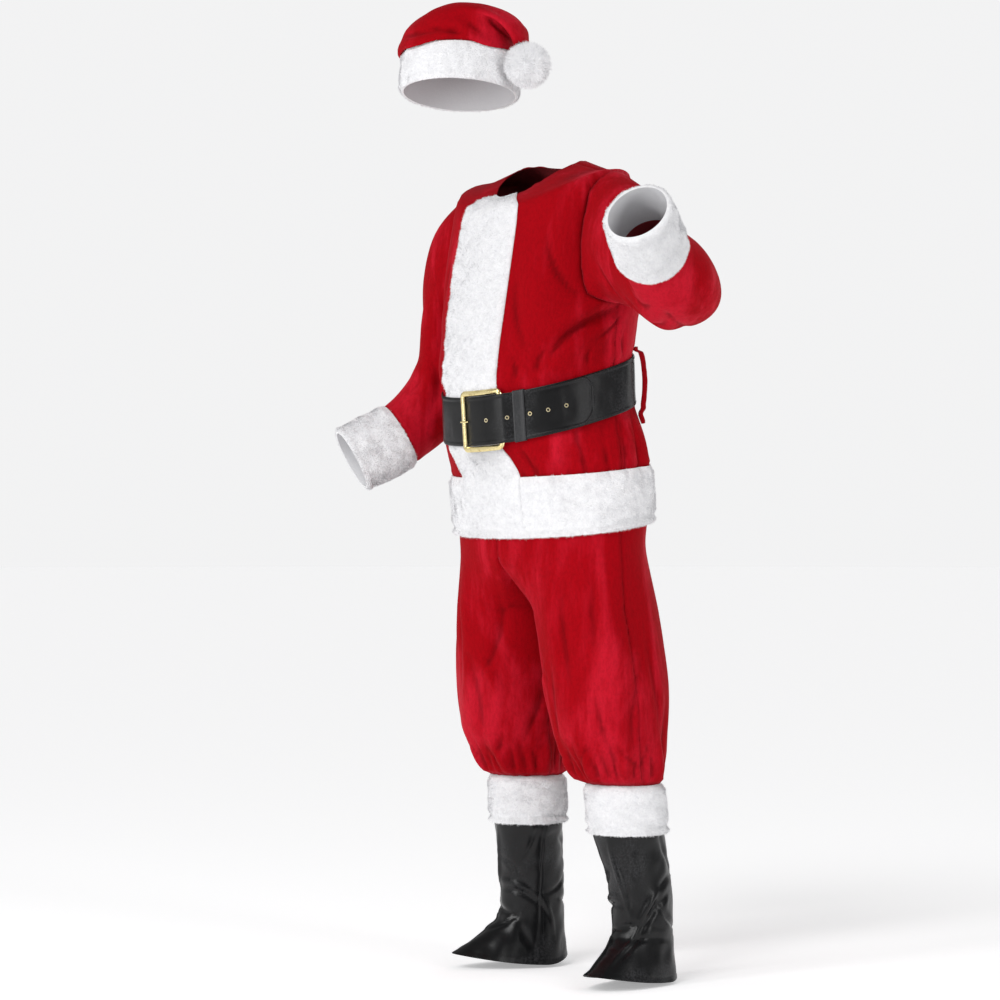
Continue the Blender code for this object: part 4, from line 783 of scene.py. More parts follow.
class Jacket:
    """The grids of the jacket's body and of its two sleeves, at a given step."""

    def __init__(self, cell):
        self.rows = spread(np.diff(BODY_ROWS), cell)
        self.columns = spread(np.radians(np.diff([*BODY_ANGLES, 360])) * 0.20, cell)[:-1]
        row, column = np.meshgrid(self.rows, self.columns, indexing="ij")
        real = np.ones((len(self.rows) - 1, len(self.columns)), bool)
        low, high = body_row(UNDERARM), body_row(SHOULDER)
        shifts = []
        for side in (SIDE_COLUMN, COLUMNS - SIDE_COLUMN):
            shifts.append(armhole_rounding(row, column, side))
            inside = (self.rows[:-1] >= low) & (self.rows[:-1] < high)
            across = (self.columns >= side - ARMHOLE_REACH) & (self.columns < side + ARMHOLE_REACH)
            real[np.ix_(inside, across)] = False
        column = column + shifts[0][0] + shifts[1][0]
        row = row + shifts[0][1] + shifts[1][1]
        angles = np.interp(column, range(COLUMNS + 1), [*BODY_ANGLES, 360])
        stations = np.interp(row, range(len(BODY_ROWS)), BODY_ROWS)
        self.body = Cloth(body(angles, stations), real=real)
        self.left = self.sleeve(SIDE_COLUMN, SLEEVE_LEFT, SLEEVE_CREASES["left"], cell)
        self.right = self.sleeve(COLUMNS - SIDE_COLUMN, SLEEVE_RIGHT, SLEEVE_CREASES["right"], cell)

    def row(self, station):
        return int(np.searchsorted(self.rows, body_row(station) - 1e-9))

    def column(self, coarse):
        return int(np.searchsorted(self.columns, coarse - 1e-9))

    def armhole_loop(self, side):
        """The grid points round one armhole from under the arm, and how far round each is, of 1."""
        low, high = self.row(UNDERARM), self.row(SHOULDER)
        first, middle, last = (self.column(side + k) for k in (-ARMHOLE_REACH, 0, ARMHOLE_REACH))
        loop = [(low, c) for c in range(middle, last)]
        loop += [(r, last) for r in range(low, high)]
        loop += [(high, c) for c in range(last, first, -1)]
        loop += [(r, first) for r in range(high, low, -1)]
        loop += [(low, c) for c in range(first, middle)]
        r, c = np.array(loop).T
        up, along = self.rows[np.append(r, r[0])], self.columns[np.append(c, c[0])]
        steps = abs(np.diff(up)) + abs(np.diff(along))
        return (r, c), np.append(0, np.cumsum(steps)[:-1]) / steps.sum()

    def sleeve(self, side, sections, creases, cell):
        """A sleeve from the armhole's own points to the end of its cuff, with its fur's depth at each row."""
        loop, share = self.armhole_loop(side)
        table = np.array(sections)
        out, rise = np.radians(table[:, 3]), np.radians(table[:, 4])
        ways = (np.sign(table[:, 0]) * np.cos(out) * np.cos(rise), -np.sin(out) * np.cos(rise), np.sin(rise))
        table = np.column_stack([table[:, :3], table[:, 5:], *ways])
        cuff = len(sections) - 2
        gaps = np.linalg.norm(np.diff(table[:, :3], axis=0), axis=1)
        stops = spread(gaps[:cuff], cell)
        step = spread(np.diff(CUFF_STEPS) * gaps[-1], 0.0035)
        cuffs = np.interp(step, range(len(CUFF_STEPS)), CUFF_STEPS)
        first = np.arange(1, 8) / 8 - 1
        stops = np.concatenate([first, stops, cuff + cuffs[1:]])
        rings = smooth(np.arange(len(sections)), table, np.clip(stops, 0, None))
        centres, axes = at_height(rings[:, :3]), unit(rings[:, 5:])
        angles = 2 * np.pi * share
        degrees = np.degrees(angles)
        under = np.array((0, 0, -1.0))
        edge = self.body.points[loop]
        points = [edge]
        for stop, centre, axis, ring in zip(stops, centres, axes, rings):
            under = unit(under - axis * (under @ axis))
            aside = np.cross(axis, under)
            number = max(stop, 0) + 1
            fold = ring_folds(SLEEVE_FOLDS + creases, degrees, number) * np.clip(cuff - stop, 0, 1)
            tall, deep = (ring[3] + fold) * np.cos(angles), (ring[4] + fold) * np.sin(angles)
            placed = centre + np.outer(tall, under) + np.outer(deep, aside)
            points.append(placed if stop >= 0 else edge * -stop + placed * (1 + stop))
        points = np.array(points)
        for _ in range(10):
            points[1:14] = points[1:14] / 2 + (points[0:13] + points[2:15]) / 4
        sleeve = Cloth(points)
        shared = unit(sleeve.outward[0] + self.body.outward[loop])
        sleeve.outward[0] = shared
        self.body.outward[loop] = shared
        sleeve.cuff = sleeve.rows - len(step)
        sleeve.fur = np.zeros(sleeve.rows)
        sleeve.fur[sleeve.cuff :] = np.interp(step, range(len(CUFF_STEPS)), CUFF_FUR)
        return sleeve

    def hem_fur(self):
        """The fur's depth at each row of the hem."""
        return np.where(self.rows <= 5, np.interp(self.rows, range(6), HEM_FUR), 0)[:, None]

    def band_fur(self):
        """The depth of the front band's fur all over the grid."""
        rows = np.full(len(BODY_ROWS), BAND_FUR)
        rows[:3] += (-0.0050, 0.0005, -0.0025)
        rows[body_row(BELT_LOW) : body_row(BELT_HIGH) + 1] = BAND_UNDER_BELT
        rows[-1] = BAND_SIDE
        deep = np.interp(self.rows, range(len(BODY_ROWS)), rows)
        away = np.minimum(self.columns, COLUMNS - self.columns)
        across = np.clip((BAND_COLUMN - away) / 1.0, 0, 1)[None]
        return np.minimum(deep[:, None], BAND_SIDE + (BAND_FUR - BAND_SIDE) * across)


# Trousers


def hip_angles(places):
    """The jacket's angles at places counted in the trousers' columns."""
    own = [a for a in BODY_ANGLES if a <= 180 and a != BAND_SHOULDER]
    return np.interp(places, range(len(own)), own)


def step_out(side, height):
    """How far the left leg stands out beyond the right one's mirror image."""
    return LEFT_STEP * (side == LEFT) * (1 - soft_step(STEP_LOW, STEP_HIGH, height))


def leg_points(side, degrees, height):
    """Points on one leg. Degrees run from the front towards the outside."""
    table = np.array(LEG_SECTIONS)
    ring = smooth(table[:, 0], table, height)
    out = fold_depth(LEG_FOLDS + LEG_CREASES, degrees, height, 0.10)
    out = out * soft_step(LEG_SEAM, LEG_SEAM + 0.012, np.asarray(height))
    x = ring[..., 1] + (ring[..., 3] + out) * np.sin(np.radians(degrees))
    y = ring[..., 2] - (ring[..., 4] + out) * np.cos(np.radians(degrees))
    z = np.broadcast_to(height, x.shape)
    return at_height(np.stack([side * x + step_out(side, z), y, z], -1))


def seat_ring(side, outer, inner):
    """The ring where the legs become one: round the hips outside, and down through the crotch inside."""
    front, back, width, ahead, behind = SEAT
    turn = np.radians(hip_angles(outer))
    x = width * np.sin(turn)
    y = -np.where(turn < np.pi / 2, ahead, behind) * np.cos(turn)
    z = front + (back - front) * (y + ahead) / (ahead + behind)
    outside = np.stack([side * x, y, z], -1)
    t = inner
    depth = 1 - abs(2 * t - 1) ** 2.4
    going_down = behind + (CROTCH_BACK - behind) * 2 * t
    going_up = CROTCH_BACK - (ahead + CROTCH_BACK) * (2 * t - 1)
    edge = back + (front - back) * t
    inside_y = np.where(t < 0.5, going_down, going_up)
    inside = np.stack([0 * t, inside_y, edge + (CROTCH_HEIGHT - edge) * depth], -1)
    return at_height(np.concatenate([outside, inside]))


def hip_ring(degrees, station, inset):
    """Points on the trousers, a small way inside the jacket at one of its stations."""
    ring = body(degrees, station)
    ring[:, :2] -= unit(ring[:, :2]) * inset
    return ring


class Leg:
    """The grid of one half of the trousers.

    Its columns run from the front round the outside, and on round the inside.
    """

    def __init__(self, side, cell):
        outer = np.arange(TROUSER_STEPS * 5 + 1) / 5
        inner = np.arange(1, INSEAM_STEPS * 4) / (INSEAM_STEPS * 4)
        degrees = np.concatenate([-45 + 270 * outer / TROUSER_STEPS, 225 + 90 * inner])
        self.steps = spread(np.diff(LEG_ROWS), cell)
        heights = np.interp(self.steps, range(len(LEG_ROWS)), LEG_ROWS)
        rows = [leg_points(side, degrees, height) for height in heights]
        seat = seat_ring(side, outer, inner)
        rows += [rows[-1] * (1 - t) + seat * t for t in np.arange(1, 16) / 15]
        crotch = len(rows) - 1
        hips = hip_angles(outer) if side == LEFT else 360 - hip_angles(outer)
        stations, insets = np.array(HIP_ROWS).T
        low = hip_ring(hips, stations[0], insets[0])
        hip, edge = seat[: len(outer)], seat[len(outer) :]
        rows += [np.concatenate([hip * (1 - t) + low * t, edge]) for t in np.arange(1, 11) / 11]
        for station in np.interp(spread(np.diff(stations), cell), range(len(stations)), stations):
            ring = hip_ring(hips, station, np.interp(station, stations, insets))
            rows.append(np.concatenate([ring, edge]))
        points = np.array(rows)
        top = points.shape[0] - 1
        # The cloth is one smooth skin from the leg up to the jacket's own form
        skin = points[:, : len(outer)]
        for _ in range(12):
            lift = (skin[crotch - 16 : crotch + 11] + skin[crotch - 14 : crotch + 13]) / 2
            skin[crotch - 15 : crotch + 12] += (lift - skin[crotch - 15 : crotch + 12]) / 2
        points[crotch:, [0, len(outer) - 1], 0] = 0
        count = points.shape[1]
        real = np.ones((top, count), bool)
        real[crotch:, len(outer) - 1 :] = False
        outseam, inseam = OUTSEAM * 5, TROUSER_STEPS * 5 + (INSEAM - TROUSER_STEPS) * 4
        self.front, self.back = (inseam, count + outseam), (outseam, inseam)
        if side == RIGHT:
            points = points[:, ::-1]
            real = real[:, np.r_[count - 2 : -1 : -1, count - 1]]
            self.front = (count - 1 - outseam, 2 * count - 1 - inseam)
            self.back = (count - 1 - inseam, count - 1 - outseam)
        self.cloth = Cloth(points, real=real)
        self.seam = int(np.searchsorted(self.steps, LEG_ROWS.index(LEG_SEAM) - 1e-9))
        self.top, self.count = top, count
        self.face_middle(crotch)
        self.fur = np.zeros(self.cloth.rows)
        self.fur[: self.seam + 1] = np.interp(self.steps[: self.seam + 1], range(6), HEM_FUR)

    def face_middle(self, crotch):
        """The two halves meet in the body's middle plane, so their cloth has the same way out there."""
        cloth = self.cloth
        on_middle = abs(cloth.points[..., 0]) < 1e-6
        cloth.outward[on_middle, 0] = 0
        cloth.outward = unit(cloth.outward)
        ring, met = cloth.points[crotch], on_middle[crotch]
        for column in range(cloth.columns):
            before, after = column - 1, (column + 1) % cloth.columns
            if met[before] and met[column] and met[after]:
                down = unit(np.cross(ring[after] - ring[before], (1, 0, 0)))
                cloth.outward[crotch, column] = down * np.sign(-down[2])


# Belt, hat and boot covers


def belt_surface(degrees, up):
    """Points on the jacket under the belt, some way up from its middle, and the way out at each."""
    degrees, up = np.broadcast_arrays(np.asarray(degrees, float), np.asarray(up, float))
    low, high = body(degrees, BELT_LOW), body(degrees, BELT_HIGH)
    rise = (high - low) / (BELT_HIGH - BELT_LOW)
    along = body(degrees + 0.5, BELT_MIDDLE) - body(degrees - 0.5, BELT_MIDDLE)
    return (low + high) / 2 + rise * up[..., None], unit(np.cross(along, rise))


def patch(degrees, up):
    """An open grid on the jacket's surface at the belt, for what lies along it."""
    points, outward = belt_surface(degrees, up)
    cloth = Cloth(points, closed=False)
    cloth.outward = outward
    return cloth


def hat_frame():
    """The hat's own axes: across towards the folded side, ahead of that, and up."""
    turn = math.radians(HAT_FOLD_TOWARDS)
    across = np.array((math.cos(turn), math.sin(turn), 0))
    ahead = np.array((math.sin(turn), -math.cos(turn), 0))
    back, side = math.radians(HAT_TILT_BACK), math.radians(HAT_TILT_SIDE)
    up = unit(np.array((0, 0, 1.0)) - ahead * math.tan(back) + across * math.tan(side))
    across = unit(across - up * (across @ up))
    return across, np.cross(across, up), up


def hat_cloth(cell):
    """The hat's grid from the brim's free edge to the crown's tip, with the brim's fur and its seam's row."""
    across, ahead, up = hat_frame()
    centre = at_height(HAT_CENTRE)
    step = spread(np.diff(BRIM_ROWS) * BRIM_HEIGHT, 0.0035)
    heights = (np.interp(step, range(len(BRIM_ROWS)), BRIM_ROWS) - 1) * BRIM_HEIGHT
    table = np.array(CROWN_SECTIONS)
    stops = spread([0.020, 0.030, 0.038, 0.046, 0.050, 0.050, 0.048, 0.045, 0.042], cell)
    rings = [(-HAT_RADIUS, h, HAT_RADIUS, h, HAT_RADIUS, -1) for h in heights[:-1]]
    rings += [(*ring, stop) for ring, stop in zip(smooth(range(len(table)), table, stops), stops)]
    degrees = np.arange(112) * 360 / 112
    turn = np.radians(degrees)
    points = []
    for outer_x, outer_z, fold_x, fold_z, depth, stop in rings:
        middle = np.array(((outer_x + fold_x) / 2, (outer_z + fold_z) / 2))
        reach = np.array(((fold_x - outer_x) / 2, (fold_z - outer_z) / 2))
        place = middle + np.outer(np.cos(turn), reach)
        deep = np.sin(turn) * depth
        placed = centre + np.outer(place[:, 0], across) + np.outer(place[:, 1], up)
        points.append(placed - np.outer(deep, ahead))
    cloth = Cloth(points)
    stops = np.array([ring[5] for ring in rings])[:, None]
    fold = ring_folds(CROWN_CREASES, degrees[None], stops) * soft_step(0, 0.8, stops)
    # The sag is greatest CROWN_SLOUCH_AT sections up, and moves the cloth outwards as well as down
    above = np.maximum(stops, 0) / CROWN_SLOUCH_AT
    sags = [(angle, 0, 0, wide, 1, depth) for angle, wide, depth in CROWN_SLOUCH]
    slouch = above * np.exp(1 - above) * ring_folds(sags, degrees[None], 0)
    sagging = (CROWN_SLOUCH_OUT * unit(cloth.points - centre) - up) * slouch[..., None]
    cloth = Cloth(cloth.points + cloth.outward * fold[..., None] + sagging)
    seam = len(heights) - 1
    fur = np.zeros(cloth.rows)
    fur[: seam + 1] = np.interp(step, range(6), BRIM_FUR)
    return cloth, seam, fur


def boot_cloth(side):
    """The grid of one boot cover, from its lower edge to its shaft's top, and the angle of each column."""
    table = np.array(BOOT_SECTIONS)
    stops = spread([0.030, 0.034, 0.032, 0.048, 0.050, 0.050, 0.030, 0.055], BOOT_STEP)
    outside = -45 + 270 * np.arange(BOOT_OUTSIDE) / BOOT_OUTSIDE
    degrees = np.concatenate([outside, 225 + 90 * np.arange(BOOT_INSIDE) / BOOT_INSIDE])
    turn = np.radians(degrees)
    rings = []
    for front, back, drop, out, behind, width, fore, aft in smooth(range(len(table)), table, stops):
        fold = fold_depth(BOOT_CREASES, degrees, (front + back) / 2, 0.065)
        x = side * (width + fold) * np.sin(turn)
        y = -(np.where(np.cos(turn) > 0, fore, aft) + fold) * np.cos(turn)
        z = back + (front - back) * soft_step(-aft, fore, -y) - drop * np.sin(turn) ** 2
        a = math.radians(TOE_OUT) * side * (1 - soft_step(BOOT_TURN_LOW, BOOT_TURN_HIGH, back))
        middle = side * out + step_out(side, z)
        turned = (middle + x * math.cos(a) - y * math.sin(a), behind + x * math.sin(a) + y * math.cos(a))
        rings.append(np.stack([*turned, z], -1))
    rings = at_height(rings)
    return (Cloth(rings[:, ::-1]), degrees[::-1]) if side == RIGHT else (Cloth(rings), degrees)


# Finishes


def node(tree, kind, sockets=None, **settings):
    """A new node in a tree, with its sockets set to values or linked to other sockets."""
    made = tree.nodes.new(kind)
    for key, value in settings.items():
        setattr(made, key, value)
    for key, value in (sockets or {}).items():
        if isinstance(value, bpy.types.NodeSocket):
            tree.links.new(value, made.inputs[key])
        else:
            made.inputs[key].default_value = value
    return made


def noise(tree, place, scale, detail=2.0, stretch=(1, 1, 1), **sockets):
    """Noise over the surface, with scale in waves a metre."""
    moved = node(tree, "ShaderNodeMapping", {"Vector": place, "Scale": stretch})
    wanted = {"Vector": moved.outputs[0], "Scale": scale, "Detail": detail, **sockets}
    return node(tree, "ShaderNodeTexNoise", wanted).outputs["Fac"]


def between(tree, value, low, high, out_low=0.0, out_high=1.0):
    """A value's place between two others, as a number from out_low to out_high."""
    wanted = {0: value, 1: low, 2: high, 3: out_low, 4: out_high}
    return node(tree, "ShaderNodeMapRange", wanted, interpolation_type="SMOOTHSTEP").outputs[0]


def sums(tree, operation, a, b):
    return node(tree, "ShaderNodeMath", {0: a, 1: b}, operation=operation).outputs[0]


def weighed(tree, a, share_a, b, share_b):
    """Two values added together, each times its own share."""
    return sums(tree, "ADD", sums(tree, "MULTIPLY", a, share_a), sums(tree, "MULTIPLY", b, share_b))


def mix(tree, share, a, b):
    return node(tree, "ShaderNodeMix", {0: share, 6: a, 7: b}, data_type="RGBA").outputs[2]


def own_place(tree):
    """Where each point lies in its object's own space."""
    return node(tree, "ShaderNodeTexCoord").outputs["Object"]


def attribute(tree, name):
    return node(tree, "ShaderNodeAttribute", attribute_name=name).outputs["Fac"]


def new_group(name, colours, numbers, outputs):
    """An empty node group with its sockets. Returns it with its inputs' sockets and its outputs' ones."""
    tree = bpy.data.node_groups.new(name, "ShaderNodeTree")
    for label in colours:
        tree.interface.new_socket(label, in_out="INPUT", socket_type="NodeSocketColor")
    for label, value in numbers.items():
        socket = tree.interface.new_socket(label, in_out="INPUT", socket_type="NodeSocketFloat")
        socket.default_value = value
    for label in outputs:
        kind = "NodeSocketColor" if label == "Colour" else "NodeSocketFloat"
        tree.interface.new_socket(label, in_out="OUTPUT", socket_type=kind)
    return tree, tree.nodes.new("NodeGroupInput").outputs, tree.nodes.new("NodeGroupOutput").inputs


def plush_group():
    """Plush with lighter patches and streaks where its pile is laid one way, which are painted sheen, and a
    deeper red in its folds, its seams and the low places of its pile, which is painted shade.
    """
    colours, numbers = ("Pile", "Brushed Sheen", "Shaded"), {"Patches": 9.0, "Sheen Share": 0.8}
    tree, given, out = new_group("plush pile", colours, numbers, ("Colour", "Roughness", "Height"))
    place = own_place(tree)
    patches = noise(tree, place, given["Patches"], 4.0, (1, 1, 0.36), Distortion=0.7)
    streaks = noise(tree, place, 85.0, 3.0, (1, 1, 0.13), Distortion=0.4)
    tips = noise(tree, place, 900.0, 2.0)
    clumps = noise(tree, place, 210.0, 2.0, (1, 1, 0.6))
    # Painted sheen: the pile is lighter in these patches and streaks, as where it catches the light
    brushed_sheen = between(tree, weighed(tree, patches, 0.84, streaks, 0.16), 0.46, 0.65)
    share = sums(tree, "MULTIPLY", brushed_sheen, given["Sheen Share"])
    colour = mix(tree, share, given["Pile"], given["Brushed Sheen"])
    raised = weighed(tree, tips, 0.5, clumps, 0.5)
    # Painted shade among the pile: a deeper red where its bump is low
    low_pile_shade = between(tree, raised, 0.56, 0.40)
    colour = mix(tree, sums(tree, "MULTIPLY", low_pile_shade, 0.20), colour, given["Shaded"])
    # Painted shade in the seam grooves and in the folds, from the seam and hollow attributes
    seam_shade = sums(tree, "MULTIPLY", attribute(tree, "seam"), 0.6)
    sunk = sums(tree, "MAXIMUM", seam_shade, attribute(tree, "hollow"))
    colour = mix(tree, sums(tree, "MULTIPLY", sunk, 0.48), colour, given["Shaded"])
    tree.links.new(colour, out["Colour"])
    tree.links.new(between(tree, brushed_sheen, 0.0, 1.0, 0.86, 0.68), out["Roughness"])
    tree.links.new(sums(tree, "ADD", raised, sums(tree, "MULTIPLY", streaks, 0.5)), out["Height"])
    return tree


def fur_group():
    """White fur in soft tufts, with a little grey painted shade between them."""
    tree, given, out = new_group("fur tufts", ("White", "Shade"), {"Tufts": 150.0}, ("Colour", "Height"))
    place = own_place(tree)
    tufts = noise(tree, place, given["Tufts"], 3.0, Distortion=0.6)
    hairs = noise(tree, place, 750.0, 2.0, (1, 1, 0.35))
    # Painted shade: greyer between the tufts, where the bump is low
    share = between(tree, weighed(tree, tufts, 0.5, hairs, 0.5), 0.20, 0.62)
    tree.links.new(mix(tree, share, given["Shade"], given["White"]), out["Colour"])
    tree.links.new(sums(tree, "ADD", tufts, sums(tree, "MULTIPLY", hairs, 0.6)), out["Height"])
    return tree


def grain_group():
    """Fine leather-like grain with soft wrinkles, and dull scuffs that are a little lighter."""
    numbers = {"Grain": 1000.0, "Gloss": 0.3}
    tree, given, out = new_group("vinyl grain", ("Face", "Scuff"), numbers, ("Colour", "Roughness", "Height"))
    place = own_place(tree)
    grain = node(tree, "ShaderNodeTexVoronoi", {"Vector": place, "Scale": given["Grain"]}).outputs["Distance"]
    wrinkles = noise(tree, place, 70.0, 4.0, (1, 1, 1.6), Distortion=1.1)
    scuffs = between(tree, noise(tree, place, 9.0, 3.0), 0.46, 0.66)
    fine = between(tree, noise(tree, place, 300.0, 3.0), 0.35, 0.75)
    worn = sums(tree, "MULTIPLY", scuffs, fine)
    tree.links.new(mix(tree, worn, given["Face"], given["Scuff"]), out["Colour"])
    dull = weighed(tree, worn, 0.22, wrinkles, 0.12)
    tree.links.new(sums(tree, "ADD", given["Gloss"], dull), out["Roughness"])
    tree.links.new(weighed(tree, grain, 0.5, wrinkles, 0.8), out["Height"])
    return tree


def metal_group():
    """Thin plating with fine scratches and a warmer tarnish in patches."""
    outputs = ("Colour", "Roughness", "Height")
    tree, given, out = new_group("worn plating", ("Metal", "Tarnish"), {"Polish": 0.2}, outputs)
    place = own_place(tree)
    patches = between(tree, noise(tree, place, 90.0, 4.0, Distortion=0.5), 0.45, 0.68)
    scratches = between(tree, noise(tree, place, 420.0, 3.0, (1, 1, 7)), 0.58, 0.70)
    tarnished = sums(tree, "MULTIPLY", patches, 0.7)
    tree.links.new(mix(tree, tarnished, given["Metal"], given["Tarnish"]), out["Colour"])
    dull = weighed(tree, patches, 0.14, scratches, 0.16)
    tree.links.new(sums(tree, "ADD", given["Polish"], dull), out["Roughness"])
    tree.links.new(scratches, out["Height"])
    return tree


def knit_group():
    """The knitted back of pile cloth: fine ribs up and down, crossed by rows of loops."""
    tree, given, out = new_group("knit back", ("Yarn", "Gap"), {"Ribs": 620.0}, ("Colour", "Height"))
    place = own_place(tree)
    loops = noise(tree, place, given["Ribs"], 1.0, (1, 1, 1.7))
    wave = {"Vector": place, "Scale": 190.0, "Distortion": 1.2}
    rows = node(tree, "ShaderNodeTexWave", wave, bands_direction="Z").outputs["Fac"]
    share = between(tree, weighed(tree, loops, 0.6, rows, 0.4), 0.3, 0.7)
    tree.links.new(mix(tree, share, given["Gap"], given["Yarn"]), out["Colour"])
    tree.links.new(share, out["Height"])
    return tree


def finish(name, group, given, bump=0.3, depth=0.001, **sockets):
    """A material whose colour, roughness and bump come from a node group, and the rest from plain values."""
    made = bpy.data.materials.new(name)
    made.use_nodes = True
    tree = made.node_tree
    shader = tree.nodes["Principled BSDF"]
    pattern = node(tree, "ShaderNodeGroup", node_tree=group)
    for key, value in given.items():
        pattern.inputs[key].default_value = (*value, 1) if hasattr(value, "__len__") else value
    tree.links.new(pattern.outputs["Colour"], shader.inputs["Base Color"])
    if "Roughness" in pattern.outputs:
        tree.links.new(pattern.outputs["Roughness"], shader.inputs["Roughness"])
    raised = {"Height": pattern.outputs["Height"], "Strength": bump, "Distance": depth}
    tree.links.new(node(tree, "ShaderNodeBump", raised).outputs[0], shader.inputs["Normal"])
    for key, value in sockets.items():
        shader.inputs[key.replace("_", " ")].default_value = value
    return made


class Finishes:
    """The suit's materials, made once from the colours in the sidebar."""

    def __init__(self, colours):
        self.knit = knit_group()
        self.cloth_finishes(colours)
        self.vinyl_finishes(colours)
        self.metal_finishes(colours)

    def back(self, name, yarn, gap, depth):
        """The back of some cloth, where its knitted ground shows."""
        return finish(name, self.knit, {"Yarn": yarn, "Gap": gap}, 0.4, depth, Roughness=0.9)

    def cloth_finishes(self, colours):
        red = {"Pile": colours.plush, "Brushed Sheen": colours.plush_brushed_sheen, "Shaded": colours.plush_shade}
        soft = {"Sheen_Weight": 0.18, "Sheen_Roughness": 0.35, "Specular_IOR_Level": 0.06}
        tint = (1.0, 0.10, 0.15, 1)
        self.plush = finish("red_plush", plush_group(), red, 0.35, 0.0012, Sheen_Tint=tint, **soft)
        # The gaps of the plush's knit take the same colour as its painted shade
        self.plush_back = self.back("red_plush_back", colours.plush_back, colours.plush_shade, 0.0005)
        fur = fur_group()
        white = {"White": colours.fur, "Shade": colours.fur_shade}
        lit = {"Roughness": 0.85, "Sheen_Weight": 0.3, "Sheen_Roughness": 0.5, "Specular_IOR_Level": 0.15}
        self.fur = finish("white_fur_backing", fur, white, 0.25, 0.0015, **lit)
        self.pile = finish("white_fur_pile", fur, {**white, "Tufts": 110.0}, 0.0, 0.001, **lit)
        self.fur_back = self.back("white_fur_back", colours.fur, colours.fur_shade, 0.0005)

    def vinyl_finishes(self, colours):
        grain = grain_group()
        black = {"Face": colours.vinyl, "Scuff": colours.vinyl_scuff}
        belt = {**black, "Gloss": 0.29}
        self.belt = finish("black_belt_vinyl", grain, belt, 0.30, 0.0005, Specular_IOR_Level=0.27)
        boot = {**black, "Gloss": 0.24, "Grain": 1500.0}
        self.boot = finish("black_boot_vinyl", grain, boot, 0.09, 0.0006, Specular_IOR_Level=0.31)
        worn = {"Face": colours.vinyl_worn, "Scuff": colours.vinyl_scuff, "Gloss": 0.34}
        self.keeper = finish("grey_keeper_vinyl", grain, worn, 0.30, 0.0005, Specular_IOR_Level=0.45)
        self.vinyl_back = self.back("black_vinyl_back", colours.vinyl_scuff, colours.vinyl, 0.0004)
        twist = {"Yarn": colours.vinyl_scuff, "Gap": colours.vinyl, "Ribs": 2400.0}
        self.thread = finish("black_thread", self.knit, twist, 0.3, 0.0002, Roughness=0.6)

    def metal_finishes(self, colours):
        metal = metal_group()
        gold = {"Metal": colours.gold, "Tarnish": colours.gold_tarnish, "Polish": 0.17}
        self.gold = finish("gold_plate", metal, gold, 0.15, 0.0002, Metallic=1.0)
        brass = {"Metal": colours.brass, "Tarnish": colours.gold_tarnish, "Polish": 0.24}
        self.brass = finish("eyelet_brass", metal, brass, 0.15, 0.0002, Metallic=1.0)


# What several pieces share, made once
MADE = {}


def finishes():
    if "finishes" not in MADE:
        MADE["finishes"] = Finishes(bpy.context.scene.suit_colours)
    return MADE["finishes"]


def jacket():
    if "jacket" not in MADE:
        MADE["jacket"] = Jacket(bpy.context.scene.suit_sizes.cell)
    return MADE["jacket"]


def leg(side):
    if side not in MADE:
        MADE[side] = Leg(side, bpy.context.scene.suit_sizes.cell)
    return MADE[side]


# Pieces


def wear(made, slot, *nodes):
    """A piece rides on the suit, in place of its solids."""
    if nodes:
        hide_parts(*nodes)
    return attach(made, "root")


def plush_piece(solid, cloth, cells, seed, low=-CLOTH, base=0.0):
    """A sewn piece of red plush in place of its solid."""
    looks = finishes()
    high = base + sewn(cloth, cells, seed)
    made = shell(f"{solid}_cloth", cloth, cells, low, high, [looks.plush, looks.plush_back])
    wear(made, "red_plush", solid)
    return made


def fur_piece(solid, cloth, cells, low, reach, seed, roll=0.0):
    """A piece of fur in place of its solid: its backing as a thin shell, and its pile as joined blades.

    Its free edge, at the grid's first row, is rolled under and stitched, so it is full and lumpy as far as
    roll from it.
    """
    looks = finishes()
    reach = np.broadcast_to(reach, (cloth.rows, cloth.columns))
    steps = np.diff(cloth.points, axis=0, prepend=cloth.points[:1])
    up = np.cumsum(np.linalg.norm(steps, axis=2), axis=0)
    shape = 0.0011 * ripple(cloth.points, 0.034, seed) + 0.0005 * ripple(cloth.points, 0.012, seed + 8)
    if roll:
        shape = shape + 0.0020 * ripple(cloth.points, 0.010, seed + 9) * soft_step(roll, roll * 0.6, up)
        shape = shape - 0.0042 * np.exp(-(((up - roll) / 0.0030) ** 2))
    shape = shape * np.clip(reach / FUR, 0, 1)
    backing = reach * BACKING_SHARE + shape
    made = shell(f"{solid}_backing", cloth, cells, low, backing, [looks.fur, looks.fur_back])
    tips = reach * PILE_SHARE + 0.0008 + shape
    furry = pile(f"{solid}_pile", cloth, cells, backing - 0.0003, tips, looks.pile, seed)
    wear(made, "white_fur", solid)
    wear(furry, "white_fur")


class SUIT_OT_jacket(bpy.types.Operator):
    """Make the front and back panels of the jacket"""

    bl_idname = "suit.jacket"
    bl_label = "Jacket Panels"

    def execute(self, context):
        grid = jacket()
        top, seam = len(grid.rows) - 1, grid.row(HEM_SEAM)
        near, far = grid.column(SIDE_COLUMN), grid.column(COLUMNS - SIDE_COLUMN)
        panels = (
            ("front_left", (0, near), 11),
            ("back", (near, far), 12),
            ("front_right", (far, len(grid.columns)), 13),
        )
        for name, columns, seed in panels:
            plush_piece(f"jacket_{name}", grid.body, grid.body.cells((seam, top), columns), seed)
        return {"FINISHED"}


